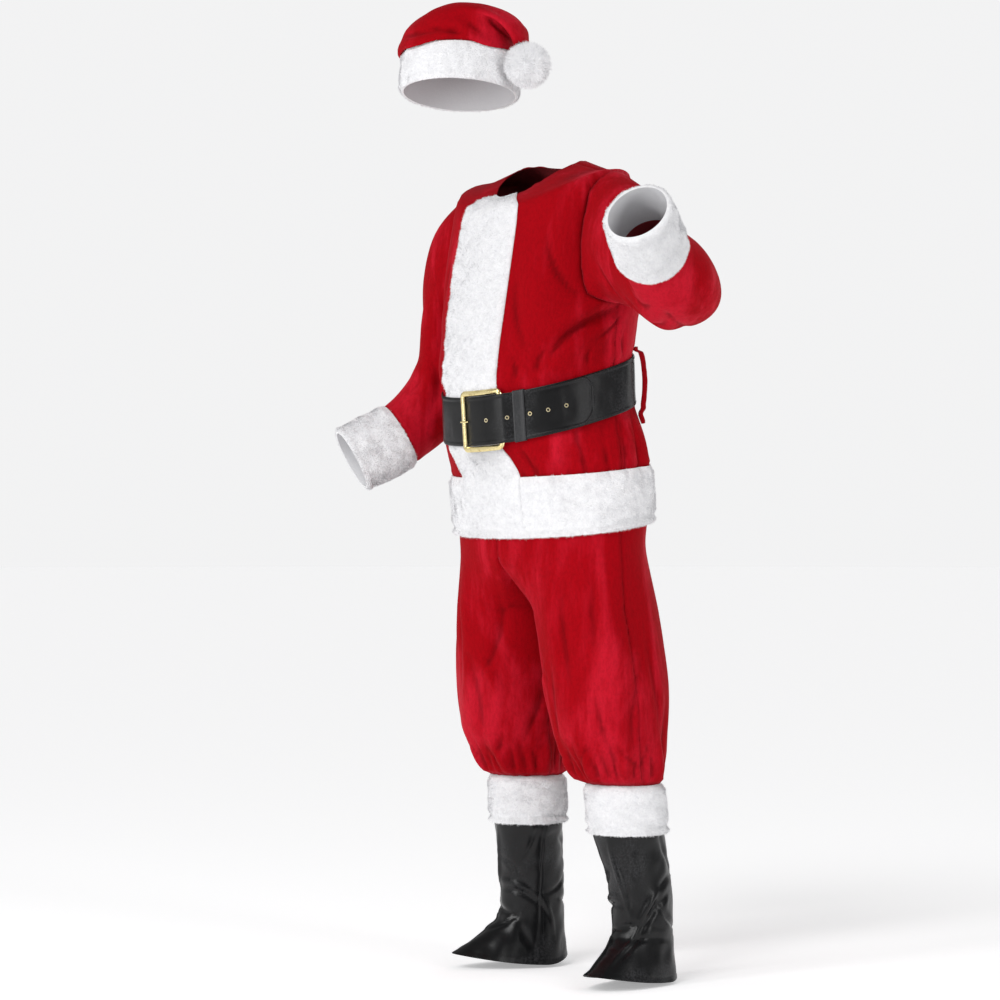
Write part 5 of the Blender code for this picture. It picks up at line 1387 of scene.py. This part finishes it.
class SUIT_OT_sleeves(bpy.types.Operator):
    """Make the two sleeves and their fur cuffs"""

    bl_idname = "suit.sleeves"
    bl_label = "Sleeves"

    def execute(self, context):
        for name, sleeve, seed in (("left", jacket().left, 21), ("right", jacket().right, 31)):
            cells = sleeve.cells((0, sleeve.cuff), (0, sleeve.columns))
            plush_piece(f"sleeve_{name}", sleeve, cells, seed)
            cells = sleeve.cells((sleeve.cuff, sleeve.rows - 1), (0, sleeve.columns))
            fur_piece(f"cuff_fur_{name}", sleeve, cells, -CLOTH, sleeve.fur[:, None], seed + 5)
        return {"FINISHED"}


class SUIT_OT_jacket_fur(bpy.types.Operator):
    """Make the fur of the jacket's hem and front"""

    bl_idname = "suit.jacket_fur"
    bl_label = "Jacket Fur"

    def execute(self, context):
        grid = jacket()
        near, far = grid.column(SIDE_COLUMN), grid.column(COLUMNS - SIDE_COLUMN)
        first, last = grid.column(BAND_COLUMN), grid.column(COLUMNS - BAND_COLUMN)
        bands = (("left", (first, near), 41), ("back", (near, far), 46), ("right", (far, last), 51))
        for name, columns, seed in bands:
            cells = grid.body.cells((0, grid.row(HEM_SEAM)), columns)
            fur_piece(f"hem_fur_{name}", grid.body, cells, -CLOTH, grid.hem_fur(), seed, HEM_ROLL)
        cells = grid.body.cells((0, len(grid.rows) - 1), (last, len(grid.columns) + first))
        fur_piece("front_fur_band", grid.body, cells, SEAM, grid.band_fur(), 56)
        return {"FINISHED"}


class SUIT_OT_trousers(bpy.types.Operator):
    """Make the four panels of the trousers, their fur cuffs and their waistband"""

    bl_idname = "suit.trousers"
    bl_label = "Trousers"

    def execute(self, context):
        for name, side, seed in (("left", LEFT, 61), ("right", RIGHT, 71)):
            half = leg(side)
            cloth = half.cloth
            rows = (half.seam, half.top)
            plush_piece(f"trouser_front_{name}", cloth, cloth.cells(rows, half.front), seed)
            plush_piece(f"trouser_back_{name}", cloth, cloth.cells(rows, half.back), seed + 1)
            cells = cloth.cells((0, half.seam), (0, half.count))
            fur_piece(f"trouser_fur_{name}", cloth, cells, -CLOTH, half.fur[:, None], seed + 2, LEG_ROLL)
        self.waistband()
        return {"FINISHED"}

    def waistband(self):
        """The elastic waistband, gathered in fine ribs."""
        degrees = np.arange(0, 360, 1.5)
        stations = np.linspace(HIP_ROWS[-1][0], BELT_MIDDLE, 8)
        cloth = Cloth([hip_ring(degrees, station, WAISTBAND_INSET) for station in stations])
        rib = 0.0004
        ribs = rib * np.sin(np.radians(degrees) * 60)[None] * np.sin(np.linspace(0, math.pi, 8))[:, None]
        cells = cloth.cells((0, cloth.rows - 1), (0, cloth.columns))
        looks = finishes()
        pair = [looks.plush, looks.plush_back]
        made = shell("trouser_waistband_cloth", cloth, cells, ribs - WAISTBAND_THICKNESS, ribs - rib, pair)
        wear(made, "red_plush", "trouser_waistband")


class SUIT_OT_belt(bpy.types.Operator):
    """Make the belt's strap with its turned edges and stitching, its keeper and its two plush loops"""

    bl_idname = "suit.belt"
    bl_label = "Belt"

    def execute(self, context):
        self.strap()
        self.keeper()
        self.loops()
        return {"FINISHED"}

    def strap(self):
        """The strap, once round from under the buckle and on over its own start to its rounded tongue."""
        looks = finishes()
        straight = STRAP_END - TONGUE_ROUND
        end = STRAP_END - TONGUE_ROUND * (1 - np.sin(np.radians(np.arange(0, 86, 5))))
        degrees = np.concatenate([np.arange(STRAP_START, straight, 1.0), end])
        past = np.clip((degrees - straight) / TONGUE_ROUND, 0, 1)
        half = (BELT_HIGH - BELT_LOW) / 2 * np.sqrt(1 - past**2)
        rows = np.array((-1, -0.985, -0.95, -0.90, -0.875, -0.85, -0.80, -0.6, -0.3))
        rows = np.concatenate([rows, [0], -rows[::-1]])[:, None]
        cloth = patch(np.broadcast_to(degrees, (len(rows), len(degrees))), rows * half)
        layer = np.interp(degrees, *np.array(STRAP_LAYERS).T)
        # The edges are turned over and stitched, so they stand up as a flat border with a groove along it
        from_edge = np.minimum(half * (1 - abs(rows)), (STRAP_END - degrees) * DEGREE_LENGTH)
        border = 0.0005 * soft_step(0.0070, 0.0055, from_edge)
        border = border - 0.0005 * np.exp(-(((from_edge - 0.0072) / 0.0012) ** 2))
        border = border - 0.0009 * np.exp(-((from_edge / 0.0009) ** 2))
        sag = 0.0011 * ripple(cloth.points, 0.045, 81) * soft_step(0.0085, 0.0170, from_edge)
        high = layer + STRAP_THICKNESS + border + np.minimum(sag, 0)
        pair = [looks.belt, looks.vinyl_back]
        made = shell("belt_strap_vinyl", cloth, np.ones_like(cloth.real), layer, high, pair)
        wear(made, "black_vinyl", "belt_strap")
        shown = degrees > THREAD_START
        for name, share in (("low", -THREAD_HEIGHT), ("high", THREAD_HEIGHT)):
            points, outward = belt_surface(degrees[shown], share * half[shown])
            off = layer[shown] + STRAP_THICKNESS + 0.0004
            path = points + outward * off[:, None]
            row = stitches(f"belt_strap_stitches_{name}", path, outward, looks.thread)
            wear(row, "black_vinyl")

    def keeper(self):
        """The keeper, a band over both layers of the strap with rounded bends at its edges."""
        looks = finishes()
        across = np.linspace(-1, 1, 13)
        degrees = KEEPER_MIDDLE + KEEPER_HALF * across
        over = np.interp(degrees + 360, *np.array(STRAP_LAYERS).T) + STRAP_THICKNESS + KEEPER_SPACE
        edge, bend = (BELT_HIGH - BELT_LOW) / 2 + KEEPER_SPACE, 0.0012
        turn = np.radians(np.linspace(0, 90, 5))
        rows = [(-edge, np.full_like(over, SEAM))]
        rows += [(-edge + bend * (1 - math.cos(t)), over - bend * (1 - math.sin(t))) for t in turn]
        rows += [(up, over) for up in np.linspace(-edge + 0.006, edge - 0.006, 13)]
        rows += [(edge - bend * (1 - math.cos(t)), over - bend * (1 - math.sin(t))) for t in turn[::-1]]
        rows += [(edge, np.full_like(over, SEAM))]
        points = []
        for up, off in rows:
            place, out = belt_surface(degrees, up)
            points.append(place + out * off[:, None])
        cloth = Cloth(points, closed=False)
        away = KEEPER_HALF * DEGREE_LENGTH * (1 - abs(across))
        ridge = 0.0004 * soft_step(0.0034, 0.0022, away) - 0.0006 * np.exp(-((away / 0.0007) ** 2))
        pair = [looks.keeper, looks.vinyl_back]
        high = KEEPER_THICKNESS + ridge
        made = shell("belt_keeper_vinyl", cloth, np.ones_like(cloth.real), 0, high, pair)
        wear(made, "black_vinyl", "belt_keeper")

    def loops(self):
        """The two loops at the sides, tubes of plush that are fuller than their two layers of cloth."""
        arch = np.array(LOOP_ARCH)
        places = spread([0.006, 0.012, 0.025, 0.025, 0.025, 0.025, 0.012, 0.006], 0.002)
        up = np.interp(places, range(len(arch)), arch[:, 0])
        stand = smooth(arch[:, 0], arch[:, 1:], up)
        across = np.linspace(-1, 1, 13)
        high = stand + LOOP_THICKNESS + LOOP_FULLNESS * np.sqrt(1 - across**2)[None]
        for name, middle, seed in (("left", LOOP_ANGLE, 91), ("right", 360 - LOOP_ANGLE, 92)):
            degrees, rows = np.meshgrid(middle + LOOP_HALF * across, up)
            cloth = Cloth(body(degrees, BELT_MIDDLE + rows), closed=False)
            cloth.outward = belt_surface(degrees, rows)[1]
            plush_piece(f"belt_loop_{name}", cloth, np.ones_like(cloth.real), seed, low=stand, base=high)


class SUIT_OT_buckle(bpy.types.Operator):
    """Make the bevelled buckle frame, and give the prong and the eyelets their plating"""

    bl_idname = "suit.buckle"
    bl_label = "Buckle"

    def execute(self, context):
        looks = finishes()
        self.bevelled_frame(looks)
        # The prong and the eyelets keep their solids and take only a finish
        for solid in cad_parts.values():
            if solid.name == "belt_prong" or solid.name.startswith("belt_eyelet"):
                solid.data.materials.clear()
                solid.data.materials.append(looks.gold if solid.name == "belt_prong" else looks.brass)
        return {"FINISHED"}

    def middle_line(self):
        """The middle of the frame's bar, round its four corners and sides, and the way out at each point."""
        wide, tall = BUCKLE_HALF_WIDTH - BUCKLE_BAR / 2, BUCKLE_HALF_HEIGHT - BUCKLE_BAR / 2
        corners = ((wide, tall), (-wide, tall), (-wide, -tall), (wide, -tall))
        path, ways = [], []
        for k, corner in enumerate(corners):
            centre = np.array(corner) - np.copysign(BUCKLE_BEND, corner)
            for turn in np.radians(90 * k + np.linspace(0, 90, 8)):
                ways.append((math.cos(turn), math.sin(turn)))
                path.append(centre + BUCKLE_BEND * np.array(ways[-1]))
            start, way = path[-1], ways[-1]
            following = corners[(k + 1) % 4]
            goal = np.array(following) - np.copysign(BUCKLE_BEND, following) + BUCKLE_BEND * np.array(way)
            for share in np.arange(1, 16) / 16:
                path.append(start * (1 - share) + goal * share)
                ways.append(way)
        return np.array(path), np.array(ways)

    def bevelled_frame(self, looks):
        """The frame, whose bar has a flat back, sloping faces and a narrow flat top."""
        path, ways = self.middle_line()
        rows = []
        for across, height in BUCKLE_PROFILE:
            flat = path + ways * across
            place, out = belt_surface(BUCKLE_MIDDLE + flat[:, 0] / DEGREE_LENGTH, flat[:, 1])
            rows.append(place + out * (BUCKLE_LOW + height))
        vertices = np.concatenate(rows)
        count = len(path)
        faces = []
        for k in range(len(rows)):
            a, b = k * count, (k + 1) % len(rows) * count
            faces += [(a + j, b + j, b + (j + 1) % count, a + (j + 1) % count) for j in range(count)]
        made = made_object("belt_buckle_frame", vertices, np.array(faces), [looks.gold])
        made.data.set_sharp_from_angle(angle=math.radians(22))
        wear(made, "gold_plate", "belt_buckle")


class SUIT_OT_hat(bpy.types.Operator):
    """Make the hat's crown, its fur brim and its pompom"""

    bl_idname = "suit.hat"
    bl_label = "Hat"

    def execute(self, context):
        cloth, seam, fur = hat_cloth(context.scene.suit_sizes.cell)
        plush_piece("hat_crown", cloth, cloth.cells((seam, cloth.rows - 1), (0, cloth.columns)), 101)
        fur_piece("hat_brim", cloth, cloth.cells((0, seam), (0, cloth.columns)), -CLOTH, fur[:, None], 102)
        self.pompom(context.scene.suit_sizes)
        return {"FINISHED"}

    def pompom(self, sizes):
        """A ball of long fur: a lumpy core, and curved strands that stand out from it all round."""
        looks = finishes()
        low, high = (np.array(corner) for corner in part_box("hat_pompom"))
        centre, radius = (low + high) / 2, (high - low).max() / 2
        count = 26
        turns = 2 * np.pi * np.arange(2 * count) / (2 * count)
        across, down = np.meshgrid(turns, np.pi * np.arange(1, count) / count)
        ball = np.stack([np.cos(across) * np.sin(down), np.sin(across) * np.sin(down), np.cos(down)], -1)
        ball = np.concatenate([ball.reshape(-1, 3), [(0, 0, 1.0), (0, 0, -1.0)]])
        core = radius * 0.84 * (1 + 0.05 * ripple(ball, 0.9, 7))[:, None] * ball
        wide, last = 2 * count, len(ball)
        faces = []
        for r in range(count - 2):
            for c in range(wide):
                a, b = r * wide + c, r * wide + (c + 1) % wide
                faces += [(a, a + wide, b), (b, a + wide, b + wide)]
        for c in range(wide):
            low_row = (count - 2) * wide
            faces += [(c, (c + 1) % wide, last - 2), (low_row + c, last - 1, low_row + (c + 1) % wide)]
        made = made_object("hat_pompom_core", centre + core, np.array(faces), [looks.fur])
        wear(made, "white_fur", "hat_pompom")
        furry = self.strands(centre, radius, sizes.strands, looks)
        wear(furry, "white_fur")

    def strands(self, centre, radius, count, looks):
        """Strands that stand evenly round the ball, each curved aside and narrowing to a point."""
        random = np.random.default_rng(104)
        k = np.arange(count) + 0.5
        up, turn = 1 - 2 * k / count, np.pi * (1 + 5**0.5) * k
        way = np.stack([np.cos(turn) * np.sqrt(1 - up**2), np.sin(turn) * np.sqrt(1 - up**2), up], -1)
        way = unit(way + random.normal(0, 0.05, way.shape))
        swirl = 0.4 * np.stack([ripple(way, 0.9, seed) for seed in (5, 6, 7)], -1)
        swirl = swirl + random.normal(0, 1.0, way.shape)
        swirl = unit(swirl - way * (swirl * way).sum(-1, keepdims=True))
        long = radius * (0.24 + 0.04 * ripple(way, 0.7, 8) + random.normal(0, 0.035, count))[:, None]
        side = np.cross(swirl, way)
        points = []
        for t in (0, 0.4, 0.75, 1):
            middle = way * (radius * 0.80 + long * t) + swirl * long * 0.95 * t
            half = side * 0.00035 * (1 - 0.6 * t)
            points.append((middle - half, middle + half))
        vertices = np.stack([p for pair in points[:3] for p in pair] + [sum(points[3]) / 2], 1)
        one = np.array([(0, 1, 3), (0, 3, 2), (2, 3, 5), (2, 5, 4), (4, 5, 6)])
        faces = (one[None] + 7 * np.arange(count)[:, None, None]).reshape(-1, 3)
        made = made_object("hat_pompom_pile", (centre + vertices).reshape(-1, 3), faces, [looks.pile])
        made.visible_shadow = False
        return made


class SUIT_OT_boot_covers(bpy.types.Operator):
    """Make the two boot covers with their creases, bound edges and back seam"""

    bl_idname = "suit.boot_covers"
    bl_label = "Boot Covers"

    def execute(self, context):
        looks = finishes()
        for name, side in (("left", LEFT), ("right", RIGHT)):
            cloth, degrees = boot_cloth(side)
            cells = cloth.cells((0, cloth.rows - 1), (0, cloth.columns))
            # The back part laps over the front one on the inside, and the back has a plain seam
            lap = 0.0014 * soft_step(BACK_EDGE + 1.4, BACK_EDGE, degrees)
            lap = lap * soft_step(BACK_FADE, BACK_FADE + 30, degrees)
            strip = lap - 0.0005 * np.exp(-(((degrees - BACK_EDGE - 2.8) / 1.4) ** 2))
            strip = strip - 0.0007 * np.exp(-(((degrees - 180) / 2.0) ** 2))
            away = border_distance(cloth, cells)
            bound = 0.0006 * soft_step(0.0075, 0.0060, away)
            bound = bound - 0.0004 * np.exp(-(((away - 0.0085) / 0.0012) ** 2))
            slack = 0.0009 * ripple(cloth.points * (1, 1, 0.8), 0.036, 111)
            high = strip[None] + bound + slack
            pair = [looks.boot, looks.vinyl_back]
            made = shell(f"boot_cover_{name}_vinyl", cloth, cells, -VINYL, high, pair)
            wear(made, "black_vinyl", f"boot_cover_{name}")
            seam = slice(3, cloth.rows - 2), int(abs(degrees - BACK_EDGE + 5.6).argmin())
            outward = cloth.outward[seam]
            path = cloth.points[seam] + outward * (high[seam][:, None] + 0.0001)
            row = stitches(f"boot_cover_{name}_stitches", path, outward, looks.thread, 0.0024, 0.0040)
            sewing = wear(row, "black_vinyl")
        return {"FINISHED"}


class SUIT_OT_stage(bpy.types.Operator):
    """Make the pale floor, the soft studio lights and the camera"""

    bl_idname = "suit.stage"
    bl_label = "Stage"

    def execute(self, context):
        context.scene.view_settings.view_transform = "Standard"
        self.floor(context.scene.suit_colours.floor)
        self.room(context)
        self.lights(context)
        self.camera(context, context.scene.suit_sizes.camera_azimuth)
        return {"FINISHED"}

    def floor(self, colour):
        rings = np.array(FLOOR_RINGS)[:, None]
        turn = 2 * np.pi * np.arange(FLOOR_STEPS) / FLOOR_STEPS
        points = np.stack([rings * np.cos(turn), rings * np.sin(turn)], -1).reshape(-1, 2)
        vertices = np.column_stack([points, np.full(len(points), -NECK_HEIGHT)])
        faces = []
        for r in range(len(FLOOR_RINGS) - 1):
            inner, outer = r * FLOOR_STEPS, (r + 1) * FLOOR_STEPS
            for c in range(FLOOR_STEPS):
                after = (c + 1) % FLOOR_STEPS
                faces.append((inner + c, outer + c, outer + after, inner + after))
        made_object("floor", vertices, np.array(faces), [self.paper(colour)])

    def paper(self, colour):
        """Matt pale paper that glows a little, so that it meets the backdrop without a line."""
        made = bpy.data.materials.new("pale_floor")
        made.use_nodes = True
        tree = made.node_tree
        shader = tree.nodes["Principled BSDF"]
        grain = between(tree, noise(tree, own_place(tree), 60.0, 3.0), 0.3, 0.7)
        speckled = mix(tree, grain, (*(c * 0.985 for c in colour), 1), (*colour, 1))
        tree.links.new(speckled, shader.inputs["Base Color"])
        shader.inputs["Roughness"].default_value = 0.9
        shader.inputs["Specular IOR Level"].default_value = 0.0
        shader.inputs["Emission Color"].default_value = (*colour, 1)
        shader.inputs["Emission Strength"].default_value = FLOOR_GLOW
        return made

    def room(self, context):
        """A pale room that looks brighter than the light it gives, and dimmer still where it is mirrored."""
        world = bpy.data.worlds.new("studio")
        context.scene.world = world
        world.use_nodes = True
        tree = world.node_tree
        light = tree.nodes["Background"]
        light.inputs["Color"].default_value = (1, 1, 1, 1)
        light.inputs["Strength"].default_value = ROOM_LIGHT
        dim = node(tree, "ShaderNodeBackground", {"Color": (1, 1, 1, 1), "Strength": ROOM_SHINE})
        backdrop = node(tree, "ShaderNodeBackground", {"Color": BACKDROP, "Strength": 1.0})
        ray = node(tree, "ShaderNodeLightPath").outputs
        given = {0: ray["Is Glossy Ray"], 1: light.outputs[0], 2: dim.outputs[0]}
        lit = node(tree, "ShaderNodeMixShader", given).outputs[0]
        seen = node(tree, "ShaderNodeMixShader", {0: ray["Is Camera Ray"], 1: lit, 2: backdrop.outputs[0]})
        tree.links.new(seen.outputs[0], tree.nodes["World Output"].inputs["Surface"])

    def lights(self, context):
        """Four wide soft suns, and two upright strips whose reflections show on the vinyl and the plating."""
        for name, (azimuth, elevation, wide, power) in SUNS.items():
            a, e = math.radians(azimuth), math.radians(elevation)
            way = Vector((math.sin(a) * math.cos(e), -math.cos(a) * math.cos(e), math.sin(e)))
            settings = {"energy": power, "angle": math.radians(wide)}
            self.lamp(context, name, "SUN", SUN_DISTANCE * way, (0, 0, 0), **settings)
        size = {"shape": "RECTANGLE", "size": STRIP_WIDTH, "size_y": STRIP_LENGTH}
        for name, (azimuth, power) in STRIPS.items():
            a = math.radians(azimuth)
            place = (STRIP_DISTANCE * math.sin(a), -STRIP_DISTANCE * math.cos(a), STRIP_HEIGHT)
            self.lamp(context, name, "AREA", place, STRIP_TARGET, energy=power, **size)

    def lamp(self, context, name, kind, place, target, **settings):
        """A lamp at a place, turned to a target."""
        light = bpy.data.lights.new(name, kind)
        for key, value in settings.items():
            setattr(light, key, value)
        made = bpy.data.objects.new(name, light)
        context.scene.collection.objects.link(made)
        made.location = place
        made.rotation_euler = (Vector(target) - made.location).to_track_quat("-Z", "Y").to_euler()

    def camera(self, context, azimuth):
        towards = Vector((math.sin(azimuth), -math.cos(azimuth), 0))
        right = Vector((math.cos(azimuth), math.sin(azimuth), 0))
        seen = bpy.data.cameras.new("camera")
        seen.sensor_width, seen.lens = 36.0, CAMERA_LENS
        made = bpy.data.objects.new("camera", seen)
        context.scene.collection.objects.link(made)
        made.location = Vector(CAMERA_TARGET) + towards * CAMERA_DISTANCE - right * CAMERA_ASIDE
        made.rotation_euler = (-towards).to_track_quat("-Z", "Y").to_euler()
        context.scene.camera = made


# Sidebar


def colour(name, description, value):
    limits = {"size": 3, "min": 0, "max": 1}
    return FloatVectorProperty(name=name, description=description, default=value, subtype="COLOR", **limits)


class SuitColours(bpy.types.PropertyGroup):
    """Colours of the suit's finishes."""

    plush: colour("Plush", "The pile of the red plush", (0.310, 0.0002, 0.0040))
    # The next colour is painted sheen: the pile in lighter patches, where it catches the light
    plush_brushed_sheen: colour("Brushed Sheen Plush", "The pile where it catches the light", (0.520, 0.0080, 0.0240))
    # The next colour is painted shade, for the folds, the seams and the low pile; it also colours the gaps of
    # the plush's knitted back
    plush_shade: colour("Shaded Plush", "The plush in its folds and seams", (0.075, 0.0002, 0.0012))
    plush_back: colour("Plush Back", "The knitted back of the plush", (0.330, 0.010, 0.018))
    fur: colour("Fur", "The tips of the white fur", (0.755, 0.754, 0.762))
    # Fur Shade is painted shade between the tufts; it also colours the gaps of the fur's knitted back
    fur_shade: colour("Fur Shade", "The white fur between its tufts", (0.600, 0.600, 0.625))
    vinyl: colour("Vinyl", "The belt and the boot covers", (0.0030, 0.0031, 0.0036))
    vinyl_worn: colour("Worn Vinyl", "The belt's keeper, which has faded", (0.0130, 0.0135, 0.0150))
    vinyl_scuff: colour("Scuffed Vinyl", "The vinyl where it is rubbed, and thread", (0.030, 0.030, 0.033))
    gold: colour("Gold", "The buckle's plating", (0.830, 0.700, 0.360))
    gold_tarnish: colour("Tarnish", "The plating where it is dull", (0.560, 0.430, 0.190))
    brass: colour("Brass", "The eyelets", (0.780, 0.680, 0.440))
    floor: colour("Floor", "The stage's floor", (0.850, 0.850, 0.855))


class SuitSizes(bpy.types.PropertyGroup):
    """Sizes of the suit's cloth and fur."""

    cell: FloatProperty(
        name="Cloth Step",
        description="Size of the cloth's faces",
        default=0.006,
        min=0.004,
        max=0.02,
        unit="LENGTH",
    )
    blades: FloatProperty(
        name="Fur Density",
        description="Blades of fur in a square millimetre",
        default=0.85,
        min=0.05,
        max=2,
    )
    blade_width: FloatProperty(
        name="Blade Width",
        description="Width of a blade of fur at its root",
        default=0.0010,
        min=0.0002,
        unit="LENGTH",
    )
    strands: IntProperty(
        name="Pompom Strands",
        description="Strands of fur on the pompom",
        default=14000,
        min=100,
    )
    camera_azimuth: FloatProperty(
        name="Camera Angle",
        description="How far round to the suit's left the camera stands",
        default=math.radians(52.0),
        subtype="ANGLE",
    )


OPERATORS = (
    SUIT_OT_jacket,
    SUIT_OT_sleeves,
    SUIT_OT_jacket_fur,
    SUIT_OT_trousers,
    SUIT_OT_belt,
    SUIT_OT_buckle,
    SUIT_OT_hat,
    SUIT_OT_boot_covers,
    SUIT_OT_stage,
)


class SUIT_PT_sidebar(bpy.types.Panel):
    """The suit's pieces, sizes and colours"""

    bl_label = "Santa Suit"
    bl_idname = "SUIT_PT_sidebar"
    bl_space_type = "VIEW_3D"
    bl_region_type = "UI"
    bl_category = "Suit"

    def draw(self, context):
        for operator in OPERATORS:
            self.layout.operator(operator.bl_idname)
        for group in (context.scene.suit_sizes, context.scene.suit_colours):
            for key in group.__annotations__:
                self.layout.prop(group, key)


CLASSES = (SuitColours, SuitSizes, *OPERATORS, SUIT_PT_sidebar)


def register():
    for kind in CLASSES:
        bpy.utils.register_class(kind)
    bpy.types.Scene.suit_colours = PointerProperty(type=SuitColours)
    bpy.types.Scene.suit_sizes = PointerProperty(type=SuitSizes)


def unregister():
    del bpy.types.Scene.suit_sizes
    del bpy.types.Scene.suit_colours
    for kind in reversed(CLASSES):
        bpy.utils.unregister_class(kind)


def main():
    register()
    for operator in OPERATORS:
        group, name = operator.bl_idname.split(".")
        getattr(getattr(bpy.ops, group), name)()


if __name__ == "__main__":
    main()
